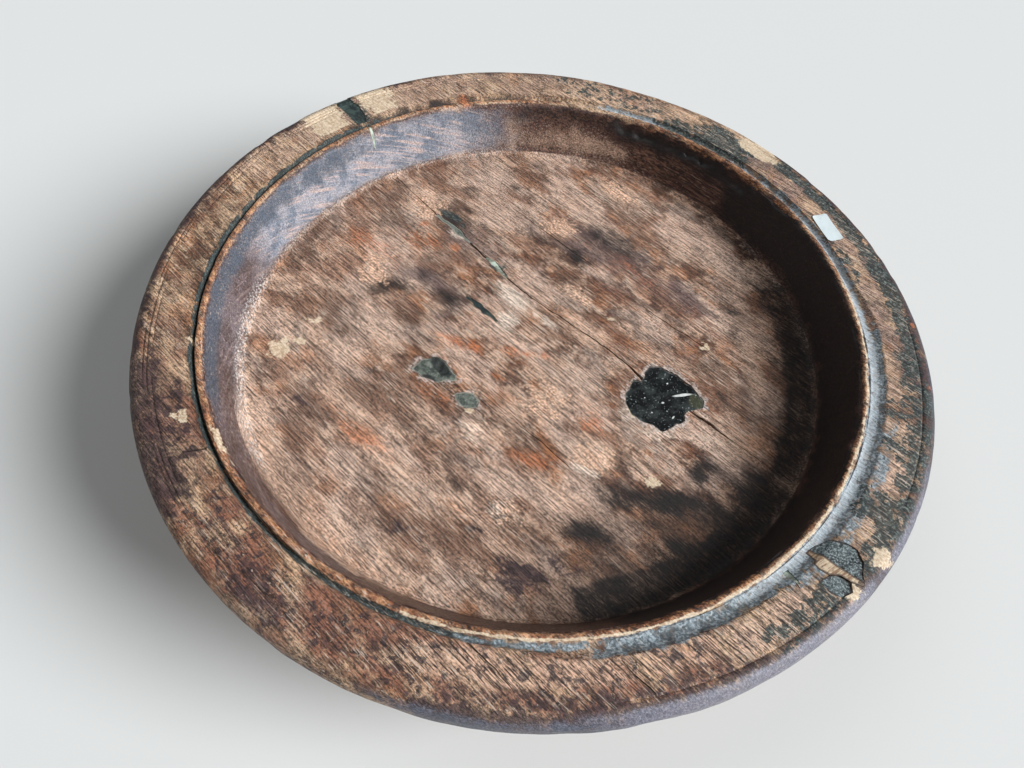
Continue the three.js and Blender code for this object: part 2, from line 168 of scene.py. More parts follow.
# Segments round the turned pieces, and the radii inside which they halve
DISH_SEGMENTS = 496
PEDESTAL_SEGMENTS = 384
HALVING_RADII = (100.0, 50.0, 25.0, 12.0)

# Stage: half the floor's width, and the colours of the floor and of what is behind it
FLOOR_HALF = 6000.0
FLOOR_COLOUR = (214, 214, 212)
BACKDROP_COLOUR = (226, 229, 229)
# Lamps: name, azimuth, elevation, spread, power and colour
LAMPS = [
    ("key", -12, 35, 31, 5.0, (0.95, 0.98, 1.0)),
    ("fill", 150, 60, 36, 0.42, (1.0, 1.0, 1.0)),
]
SKY_COLOUR = (0.9, 0.95, 1.0, 1)
SKY_POWER = 0.16
# Camera: place in metres, turn in degrees, lens and sensor in mm, nearest sight in metres
CAMERA_PLACE = (0.0, -0.32267, 0.50671)
CAMERA_TURN = (33.723, -3.359, 7.034)
CAMERA_LENS = 27.07
CAMERA_SENSOR = 36
CAMERA_NEAR = 0.01

# First seeds of the noise that makes edges ragged and gives marks their fingers
CRACK_SEED = 401
HAIRLINE_SEED = 451
MEND_SEED = 500
MARK_SEED = 700


# Noise


def lattice(ix, iy, seed):
    """Repeatable random values from -1 to 1 at whole-number places."""
    h = (ix * 374761393 + iy * 668265263 + seed * 974634777) & 0xFFFFFFFF
    h = ((h ^ (h >> 13)) * 1274126177) & 0xFFFFFFFF
    return ((h ^ (h >> 16)) & 0xFFFF) / 32767.5 - 1.0


def smooth_noise(x, y, seed):
    ix = np.floor(x).astype(np.int64)
    iy = np.floor(y).astype(np.int64)
    u = x - ix
    v = y - iy
    u = u * u * (3 - 2 * u)
    v = v * v * (3 - 2 * v)
    low = lattice(ix, iy, seed) * (1 - u) + lattice(ix + 1, iy, seed) * u
    high = lattice(ix, iy + 1, seed) * (1 - u) + lattice(ix + 1, iy + 1, seed) * u
    return low * (1 - v) + high * v


def noise(x, y, size, seed, octaves=3):
    """Sum of octaves of noise, whose largest lumps are size across."""
    total = np.zeros(np.broadcast(x, y).shape)
    for k in range(octaves):
        scale = 2.0**k / size
        total += smooth_noise(x * scale, y * scale, seed + 17 * k) / 2.0**k
    return total


def turned(x, y, degrees):
    """Places turned anticlockwise round the origin."""
    angle = math.radians(degrees)
    return x * math.cos(angle) - y * math.sin(angle), x * math.sin(angle) + y * math.cos(angle)


def along_grain(x, y):
    """Places on axes along and across the grain."""
    return turned(x, y, -GRAIN_AZIMUTH)


def smooth_step(low, high, value):
    t = np.clip((value - low) / (high - low), 0, 1)
    return t * t * (3 - 2 * t)


def degrees_from(azimuth, centre):
    """Signed degrees from one azimuth to another, from -180 to 180."""
    return (azimuth - centre + 180.0) % 360.0 - 180.0


def window(azimuth, start, end, fade):
    """1 between two azimuths, fading to 0 outside them."""
    middle = (start + end) / 2
    half = (end - start) / 2
    return 1 - smooth_step(half, half + fade, np.abs(degrees_from(azimuth, middle)))


# Shape of the dish's top


def out_of_round(azimuth):
    total = 0.0
    for height, lobes, lobe_azimuth in RIM_WAVES:
        total = total + height * np.cos(np.radians(lobes * (azimuth - lobe_azimuth)))
    return total


def round_place(x, y):
    """The radius that a place would have if the rim were round, and its azimuth."""
    radius = np.hypot(x, y)
    azimuth = np.degrees(np.arctan2(y, x))
    share = np.clip((radius - RIM_INNER) / RIM_SPAN, 0, 1.05)
    return radius - share * out_of_round(azimuth), azimuth


def bowl_height(x, y, radius, wall):
    """Height of the floor and the wall, with the round corner between them."""
    along, across = along_grain(x, y)
    undulation = 0.35 * noise(x, y, 70.0, 5) + 0.12 * noise(along / 6, across, 5.0, 9)
    bend = np.clip((radius - CORNER_START) / (CORNER_END - CORNER_START), 0, 1)
    return np.where(radius > CORNER_END, wall, FLOOR_TOP + undulation + FLOOR_CORNER * bend**2)


def crest_height(x, y, radius, torn):
    """Height of the lip's crest, worn round and knocked, and lower where the wall is torn."""
    middle = LIP_RADIUS + LIP_WIDTH / 2
    off = np.clip((radius - middle) / (LIP_WIDTH / 2), -1.15, 3)
    crest = LIP_HEIGHT - 1.3 * np.abs(off) ** 3 - 0.4 * np.abs(noise(x, y, 9.0, 41))
    crest = crest - 1.2 * torn * smooth_step(0.6, -1.0, off)
    return crest - 1.8 * np.clip(noise(x, y, 11.0, 43) - 0.4, 0, 1)


def groove_height(x, y, radius, azimuth, cove):
    """Height of the groove between the lip and the rim's flat."""
    deep = window(azimuth, *DEEP_SIDE)
    start = LIP_RADIUS + LIP_WIDTH - DEEP_SHIFT * deep
    width = GROOVE_WIDTH + (COVE_WIDTH - GROOVE_WIDTH) * cove - DEEP_NARROWING * deep
    shallow = window(azimuth, *SHALLOW_SIDE)
    depth = GROOVE_DEPTH * (1 - 0.25 * cove + 0.7 * deep - 0.3 * shallow)
    t = np.clip((radius - start) / width, 0, 1)
    shoulder = LIP_HEIGHT - SHOULDER_DROP + (RIM_TOP - LIP_HEIGHT + SHOULDER_DROP) * t
    return shoulder - depth * np.sin(np.pi * t**0.85) ** 0.8 + 0.3 * noise(x, y, 6.0, 51)


def knocks(x, y):
    """Where the rim's edge is knocked, and how far."""
    return np.clip(noise(x, y, 24.0, 91) - 0.35, 0, 1)


def flat_height(x, y, radius, azimuth):
    """Height of the rim's flat and edge, with their turned lines, knocks and chips."""
    flat = RIM_TOP + 0.3 * noise(x, y, 45.0, 61) + 0.12 * noise(x, y, 9.0, 71)
    line = (radius - (RIM_RADIUS - EDGE_WIDTH - LINE_WIDTH / 2)) / (LINE_WIDTH / 2)
    for number, inset in enumerate(LINE_INSETS):
        worn_line = smooth_step(-0.5, 0.3, noise(x, y, 40.0, 81 + number))
        worn_line = worn_line * (window(azimuth, *LINED_SIDE) if inset else 1)
        flat = flat - LINE_DEPTH * worn_line * np.exp(-((line + inset) ** 2))
    edge_share = np.clip((radius - RIM_RADIUS + EDGE_WIDTH) / EDGE_WIDTH, 0, 1)
    flat = flat - EDGE_HEIGHT * (1 - np.sqrt(1 - edge_share**2))
    flat = flat - 1.3 * knocks(x, y) * smooth_step(0.1, 0.8, edge_share)
    for chip_azimuth, chip_radius, along_edge, across_edge, depth in CHIPS:
        aside = np.radians(degrees_from(azimuth, chip_azimuth)) * chip_radius / along_edge
        off = np.hypot(aside, (radius - chip_radius) / across_edge)
        flat = flat - depth * smooth_step(1.2, 0.5, off)
    return flat


def top_height(x, y):
    """Height of the dish's top at a place, with its wear."""
    radius, azimuth = round_place(x, y)
    wall = FLOOR_TOP + (radius - FLOOR_RADIUS) / WALL_SLOPE
    wall = wall + 0.25 * noise(azimuth / 4, radius / 8, 1.0, 12)
    torn = window(azimuth, *TORN_SIDE)
    ragged = noise(x, y, 7.0, 31) * (0.6 + 1.3 * torn) + 1.6 * torn
    ragged_wall = wall - ragged * 2.2 * smooth_step(-TORN_REACH, -1, radius - LIP_RADIUS)
    crest = crest_height(x, y, radius, torn)
    cove = window(azimuth, *COVE_SIDE)
    groove = groove_height(x, y, radius, azimuth, cove)
    bowl = bowl_height(x, y, radius, wall)
    top = np.where(radius < LIP_RADIUS - TORN_REACH, bowl, np.minimum(ragged_wall, crest))
    top = np.where(radius > LIP_RADIUS + LIP_WIDTH * CREST_SHARE, np.minimum(crest, groove), top)
    cove_end = RIM_INNER + (COVE_WIDTH - GROOVE_WIDTH) * cove
    beyond = smooth_step(cove_end - FLAT_BLEND, cove_end + FLAT_BLEND, radius)
    flat = flat_height(x, y, radius, azimuth)
    return np.where(radius > LIP_RADIUS + LIP_WIDTH, groove * (1 - beyond) + flat * beyond, top)


# Meshes


def mesh_object(name, points, faces):
    """New object from points in millimetres."""
    mesh = bpy.data.meshes.new(name)
    mesh.from_pydata((np.asarray(points) * MM).tolist(), [], faces)
    mesh.validate()
    piece = bpy.data.objects.new(name, mesh)
    bpy.context.scene.collection.objects.link(piece)
    return piece


def span(start, end, step):
    """Values from start to end, no more than step apart, without the end."""
    count = max(1, math.ceil(abs(end - start) / step))
    return [start + (end - start) * i / count for i in range(count)]


def ring_faces(counts):
    """Faces between rings of points, each with as many as the last, or half, twice or one."""
    faces = []
    start = 0
    for a, b in zip(counts, counts[1:]):
        after = start + a
        for i in range(max(a, b)):
            if a == b:
                j = (i + 1) % a
                faces.append((start + i, after + i, after + j, start + j))
            elif a == 1:
                faces.append((start, after + i, after + (i + 1) % b))
            elif b == 1:
                faces.append((start + i, after, start + (i + 1) % a))
            elif i % 2 == 0:
                fine, coarse = (start, after) if a > b else (after, start)
                low, middle, high = fine + i, fine + i + 1, fine + (i + 2) % max(a, b)
                here, there = coarse + i // 2, coarse + (i // 2 + 1) % min(a, b)
                if a > b:
                    faces += [(low, here, middle), (middle, here, there), (middle, there, high)]
                else:
                    faces += [(low, middle, here), (here, middle, there), (there, middle, high)]
        start = after
    return faces


def lathe(name, profile, segments, wear):
    """Closed turned piece. The profile runs from the axis below, outwards and over the top."""
    points = []
    for radius, height in profile:
        halvings = sum(radius < limit for limit in HALVING_RADII)
        count = 1 if radius < 0.01 else segments // 2**halvings
        azimuth = np.arange(count) * 360.0 / count
        angle = np.radians(azimuth)
        level = np.full(count, float(height))
        ring = np.stack([radius * np.cos(angle), radius * np.sin(angle), level], axis=1)
        points.append(wear(ring, azimuth, radius))
    return mesh_object(name, np.concatenate(points), ring_faces([len(ring) for ring in points]))


def arc(centre, size, start, end, steps):
    """Points of a round in a profile."""
    angles = np.radians(np.linspace(start, end, steps + 1))
    return [(centre[0] + size * math.cos(a), centre[1] + size * math.sin(a)) for a in angles]


def sweep(start, control, end, steps):
    """Points of a smooth curve of a profile, pulled to a control point."""
    result = []
    for i in range(steps + 1):
        t = i / steps
        shares = ((1 - t) ** 2, 2 * t * (1 - t), t**2)
        parts = list(zip(shares, (start, control, end)))
        result.append(tuple(sum(share * point[k] for share, point in parts) for k in (0, 1)))
    return result


def dish_profile():
    """Radii and heights from the socket's roof out under the dish and up to the edge."""
    under = [(r, SOCKET_ROOF) for r in (0, 8, 16, 30, SOCKET_RADIUS - 1.5, SOCKET_RADIUS)]
    seat = (SOCKET_RADIUS, SOCKET_RADIUS + 2, BOSS_RADIUS - BOSS_BEVEL)
    under += [(r, SEAT_HEIGHT) for r in seat]
    under += [(BOSS_RADIUS, SEAT_HEIGHT + BOSS_BEVEL), (BOSS_RADIUS + BOSS_BEVEL, FLOOR_UNDER)]
    belly_start = FLOOR_RADIUS - BELLY_START
    belly_end = FLOOR_RADIUS + BELLY_END
    bulge = (FLOOR_RADIUS + BELLY_BULGE, FLOOR_UNDER)
    under += [(r, FLOOR_UNDER) for r in span(BOSS_RADIUS + 8, belly_start, 9)]
    under += sweep((belly_start, FLOOR_UNDER), bulge, (belly_end, RIM_UNDER), 14)
    corner = (RIM_RADIUS - UNDER_ROUND, RIM_UNDER + UNDER_ROUND)
    under += [(r, RIM_UNDER) for r in span(belly_end + 4, corner[0], 6)]
    under += arc(corner, UNDER_ROUND, -90, 0, 6)
    return under + [(RIM_RADIUS, h) for h in span(corner[1] + 2, RIM_TOP - EDGE_HEIGHT, 2)]


def top_radii():
    """Radii of the rings over the top, from the edge in to the axis."""
    line = RIM_RADIUS - EDGE_WIDTH
    edge = [line + EDGE_WIDTH * math.sin(math.radians(a)) for a in span(90, 0, 8)]
    # Ends of the stretches of the top, and the step between rings in each stretch
    ends = [line, line - 7, RIM_INNER + 6, LIP_RADIUS - 2, FLOOR_RADIUS + 2, CORNER_START - 1, 6]
    for start, end, step in zip(ends, ends[1:], (0.45, 1.8, 0.6, 0.9, 1, 2)):
        edge += span(start, end, step)
    return edge + [3.0, 0.0]


def dish_wear(ring, azimuth, radius):
    """Puts a ring of the underside or the edge out of round and rough, and sets the top's."""
    share = np.clip((radius - RIM_INNER) / RIM_SPAN, 0, 1)
    wobble = share * out_of_round(azimuth)
    ring[:, :2] *= (1 + wobble / max(radius, 1.0))[:, None]
    x, y, z = ring.T
    if z[0] < 0:
        ring[:, 2] = top_height(x, y)
    elif radius > BOSS_RADIUS + 10:
        rough = noise(x, y + z, 14.0, 101) * 0.3
        hollow = knocks(x, y) * 0.5
        ring[:, 2] += rough * (1 - share)
        ring[:, :2] *= (1 + share * (rough - hollow) / radius)[:, None]
    return ring


def dish_blank():
    """The slab before it is cut. Rings of the top start below the table, until they are set."""
    rings = dish_profile() + [(radius, -1.0) for radius in top_radii()]
    return lathe("dish_wood", rings, DISH_SEGMENTS, dish_wear)


# Outlines of the mends, seen from above


def around(azimuth, radius):
    angle = math.radians(azimuth)
    return np.array([radius * math.cos(angle), radius * math.sin(angle)])


def beside(azimuth, radius, sideways):
    return around(azimuth, radius) + around(azimuth + 90, sideways)


def on_rim(azimuth, outline):
    return [beside(azimuth, RIM_INNER + share * RIM_SPAN, side) for share, side in outline]


def near_wall(azimuth, distance, width):
    x, y = around(azimuth, FLOOR_RADIUS - distance)
    return (x, y, width)


FAR_CRACK = [
    near_wall(131, 1, 0.5), near_wall(130.2, 24.2, 0.7), (-90, 113, 0.9), (-60, 88, 1.3),
    (-40, 69, 1.4), (-20, 50.5, 1.2), (0, 36, 0.8), (25, 19.5, 0.7), (50, 4, 1.0),
    (65, -8, 1.3), (80, -22, 2),
]
NEAR_CRACK = [
    (106, -37, 1.6), (114, -42.5, 1.8), (122, -48, 2.6), (129, -53, 1.2), (137, -58, 0.5),
    near_wall(-24.3, 26.7, 0.4), near_wall(-25.2, 8.9, 0.3),
]
# Fine cracks in the floor and the rim: their points and widths, and the surface they are in
HAIRLINES = [
    ([(77, 43, 0.5), (98, 29, 0.8), (122, 14, 0.5)], FLOOR_TOP),
    ([(-4, -66, 0.4), (16, -80, 0.7), (33, -93, 0.4)], FLOOR_TOP),
    ([(-30, 128, 0.4), (4, 103, 0.7), (42, 74, 0.4)], FLOOR_TOP),
    ([(-172, -134, 1.4), (-178, -136.5, 1.1), (-184, -138.5, 0.5)], RIM_TOP),
    ([(148, -158, 1.2), (153, -163, 1.0), (156, -168, 0.5)], RIM_TOP),
    ([(64, -217, 0.4), (74, -225, 0.7), (82, -231, 0.4)], RIM_TOP),
    ([(-12, -219, 0.4), (2, -229, 0.7), (14, -239, 0.4)], RIM_TOP),
]
UPPER_CRACK_FILL = [(-87, 110, 1.8), (-77, 102.5, 4), (-67, 94.5, 4.4), (-57, 85.5, 1.8)]
MIDDLE_CRACK_FILL = [(-43, 72, 1.8), (-37, 68, 4.6), (-31, 62, 4.2), (-25, 55.5, 1.8)]
SLIVER_FILL = [(-52, 32.5, 1.8), (-44, 27.5, 4.2), (-36, 21, 5), (-27, 13.5, 1.8)]
PLUG_OUTLINE = [
    (77, -21), (78.5, -12), (82, -7.5), (90, -6.5), (98, -10.5), (109, -18), (114, -24),
    (118.5, -30), (118, -36), (109, -39), (105.5, -43), (106, -48), (98, -54), (91, -58.5),
    (84, -55), (76, -52), (70, -48), (66.5, -40), (65.5, -33), (68.5, -26), (71, -20),
]
LEFT_FILL_OUTLINE = [
    (-79, -34), (-75, -28.5), (-67, -24), (-60, -24), (-53, -30), (-46, -39.5), (-51, -41),
    (-60, -43.5), (-68, -41.5), (-75, -38),
]
LOWER_FILL_OUTLINE = [
    (-47, -51), (-41, -48.5), (-34, -49), (-29.5, -53), (-30, -58.5), (-36, -60.5),
    (-41, -59), (-45, -55.5),
]
FAR_MEND = [
    (1.06, -1.8), (1.06, 8.8), (0.78, 10.7), (0.54, 8.9), (0.28, 9.4), (-0.04, 8),
    (-0.04, 1), (0.24, -2), (0.51, -3.8), (0.78, -1.4),
]
SPLINT_LEFT_SIDE = [(-0.04, 2.9), (0.16, 4.5), (0.43, 5.8), (0.69, 7.8), (0.86, 9.3)]
SPLINT_RIGHT_SIDE = [(0.89, 7.4), (0.72, 3.8), (0.53, 2.1), (0.41, -2.3)]
SPLINT_TAIL = [(0.25, -3.8), (0.16, -3.3), (0.13, -0.8), (-0.04, 0)]
LEFT_OF_SPLINT = [(0.76, 12), (0.65, 18.5), (0.47, 22), (0.28, 20.6), (0.07, 15.3), (-0.02, 7)]
RIGHT_OF_SPLINT = [(0.38, -8.7), (0.6, -9.8), (0.76, -6.9), (0.82, 0)]
NOTCH = [(-0.04, 1.6), (0.06, 2), (0.22, 2.6), (0.22, 3.8), (0.08, 5), (-0.04, 5.8)]


def ragged_strip(points, seed, wander, step=1.5):
    """Outline of a crack that wanders and widens as torn wood does."""
    points = np.array(points, float)
    lengths = np.r_[0, np.cumsum(np.hypot(*np.diff(points[:, :2], axis=0).T))]
    places = np.linspace(0, lengths[-1], max(4, int(lengths[-1] / step)))
    x, y, width = (np.interp(places, lengths, points[:, k]) for k in range(3))
    towards = np.stack([np.gradient(x), np.gradient(y)], axis=1)
    towards /= np.linalg.norm(towards, axis=1)[:, None]
    side = np.stack([-towards[:, 1], towards[:, 0]], axis=1)
    middle = wander * noise(places, 0 * places, 9.0, seed)
    half = width / 2 * (1 + 0.35 * noise(places, 3 + 0 * places, 4.0, seed + 5))
    centre = np.stack([x, y], axis=1) + side * middle[:, None]
    away = side * half[:, None]
    return np.concatenate([centre + away, (centre - away)[::-1]])


def ragged_outline(outline, seed, depth, step=1.3):
    """Outline with more points, moved in and out by noise."""
    corners = np.array(outline, float)
    result = []
    for a, b in zip(corners, np.roll(corners, -1, axis=0)):
        for t in span(0, 1, step / max(step, np.linalg.norm(b - a))):
            result.append(a + (b - a) * t)
    points = np.array(result)
    points[:, 0] += depth * noise(points[:, 0], points[:, 1], 4.0, seed)
    points[:, 1] += depth * noise(points[:, 0], points[:, 1], 4.0, seed + 3)
    return points


def direction(points):
    """1 for an outline that runs anticlockwise, and -1 for the other way."""
    x, y = points.T
    return np.sign(np.sum(x * np.roll(y, -1) - np.roll(x, -1) * y))


def drawn_in(points, distance):
    """Outline moved inwards by a distance."""
    ahead = np.roll(points, -1, axis=0) - points
    normals = np.stack([-ahead[:, 1], ahead[:, 0]], axis=1) * direction(points)
    normals /= np.linalg.norm(normals, axis=1)[:, None] + 1e-9
    inward = normals + np.roll(normals, 1, axis=0)
    inward /= np.linalg.norm(inward, axis=1)[:, None] + 1e-9
    return points + inward * distance


def prism(outline, bottom, top):
    """Upright block with an outline."""
    count = len(outline)
    points = [(x, y, height) for height in (bottom, top) for x, y in outline]
    order = list(range(count))[:: int(direction(outline))]
    faces = [tuple(order[::-1]), tuple(i + count for i in order)]
    for i, j in zip(order, order[1:] + order[:1]):
        faces.append((i, j, j + count, i + count))
    return mesh_object("cut", points, faces)


def grid_block(name, x, y, bottom, top):
    """Closed block between two heights over a grid of places."""
    rows, columns = x.shape
    size = x.size
    points = [np.stack([x, y, height], axis=-1).reshape(-1, 3) for height in (top, bottom)]
    numbers = np.arange(size).reshape(rows, columns)
    faces = []
    for a in numbers[:-1, :-1].ravel().tolist():
        b = a + columns
        faces.append((a, a + 1, b + 1, b))
        faces.append((a + size, b + size, b + 1 + size, a + 1 + size))
    border = [*numbers[0], *numbers[1:, -1], *numbers[-1, -2::-1], *numbers[-2:0:-1, 0]]
    for a, b in zip(border, border[1:] + border[:1]):
        faces.append((a + size, b + size, b, a))
    return mesh_object(name, np.concatenate(points), faces)


def block_under(name, outline, bottom, relief, step=0.8):
    """Block over an outline's extent whose top follows the dish, plus a relief of its own."""
    low = outline.min(axis=0) - 1
    high = outline.max(axis=0) + 1
    lines = (np.linspace(a, b, math.ceil((b - a) / step) + 1) for a, b in zip(low, high))
    x, y = np.meshgrid(*lines)
    top = np.maximum(top_height(x, y) + relief_height(relief, x, y), bottom + 0.3)
    return grid_block(name, x, y, np.full_like(x, bottom), top)


def carve(piece, outline, surface, depth, operation="DIFFERENCE"):
    """Cuts an upright block out of a piece, or keeps only what is inside the block."""
    cutter = prism(outline, surface - depth, surface + CUT_MARGIN)
    change = piece.modifiers.new("carve", "BOOLEAN")
    change.solver = "MANIFOLD"
    change.operation = operation
    change.object = cutter
    depsgraph = bpy.context.evaluated_depsgraph_get()
    result = bpy.data.meshes.new_from_object(piece.evaluated_get(depsgraph))
    piece.modifiers.clear()
    old = piece.data
    piece.data = result
    result.name = old.name
    bpy.data.meshes.remove(old)
    bpy.data.objects.remove(cutter)


# Tops of the mends over the wood round them: height, and then height, size and seed of noises
RELIEFS = {
    "resin": (-0.5, (0.7, 16.0, 201), (0.25, 4.0, 203)),
    "putty": (-0.4, (0.9, 10.0, 211), (0.3, 2.6, 213)),
    "paint": (-0.5, (0.35, 12.0, 221), (0.15, 2.5, 223)),
    "grit": (-0.5, (0.5, 6.0, 231), (0.3, 2.0, 233)),
}


def relief_height(kind, x, y):
    if kind == "splint":
        along, across = along_grain(x, y)
        return 0.15 + 0.2 * noise(along / 8, across, 1.6, 241)
    level, *lumps = RELIEFS[kind]
    for height, size, seed in lumps:
        level = level + height * noise(x, y, size, seed)
    return level


def wall_fill():
    """Outline of the filled crack in the wall, from its foot out to the groove and back."""
    foot = LIP_RADIUS - WALL_SLOPE * WALL_FILL_DEPTH - 2
    back = LIP_RADIUS + LIP_WIDTH
    middle = (foot + back) / 2
    places = [(foot, 1.1), (middle, -1.4), (back, -1.0), (back, 0.2), (middle, 1.3), (foot, 2.1)]
    return [beside(WALL_FILL_AZIMUTH, radius, side) for radius, side in places]


# Each mend: its node, its outline, the surface it is let into, its depth, its relief,
# its material slot, and how ragged its edge is
MENDS = [
    ("floor_resin_plug", PLUG_OUTLINE, FLOOR_TOP, PLUG_DEPTH, "resin", "resin", 0.7),
    ("floor_fill_left", LEFT_FILL_OUTLINE, FLOOR_TOP, FLOOR_FILL_DEPTH, "putty", "filler", 0.8),
    ("floor_fill_lower", LOWER_FILL_OUTLINE, FLOOR_TOP, FLOOR_FILL_DEPTH, "putty", "filler", 0.6),
    ("floor_fill_sliver", ragged_strip(SLIVER_FILL, 301, 0.3), FLOOR_TOP, FLOOR_FILL_DEPTH,
     "paint", "paint_filler", 0.3),
    ("crack_fill_upper", ragged_strip(UPPER_CRACK_FILL, 311, 0.3), FLOOR_TOP, CRACK_DEPTH,
     "paint", "filler", 0.3),
    ("crack_fill_middle", ragged_strip(MIDDLE_CRACK_FILL, 321, 0.3), FLOOR_TOP, CRACK_DEPTH,
     "putty", "pale_filler", 0.3),
    ("wall_crack_fill", wall_fill(), LIP_HEIGHT, WALL_FILL_DEPTH, "paint", "pale_filler", 0.2),
    ("rim_fill_far", on_rim(133, FAR_MEND), RIM_TOP, FAR_FILL_DEPTH, "paint", "paint_filler", 0.6),
    ("rim_splint", on_rim(318, SPLINT_LEFT_SIDE + SPLINT_RIGHT_SIDE + SPLINT_TAIL), RIM_TOP,
     SPLINT_DEPTH, "splint", "splint_wood", 0.0),
    ("rim_fill_left_of_splint", on_rim(318, SPLINT_LEFT_SIDE + LEFT_OF_SPLINT), RIM_TOP,
     RIM_FILL_DEPTH, "grit", "filler", 0.0),
    ("rim_fill_right_of_splint", on_rim(318, SPLINT_RIGHT_SIDE[1:] + RIGHT_OF_SPLINT), RIM_TOP,
     RIM_FILL_DEPTH, "grit", "filler", 0.0),
    ("rim_notch_fill", on_rim(312.5, NOTCH), RIM_TOP, RIM_FILL_DEPTH, "paint", "pale_filler", 0.2),
]


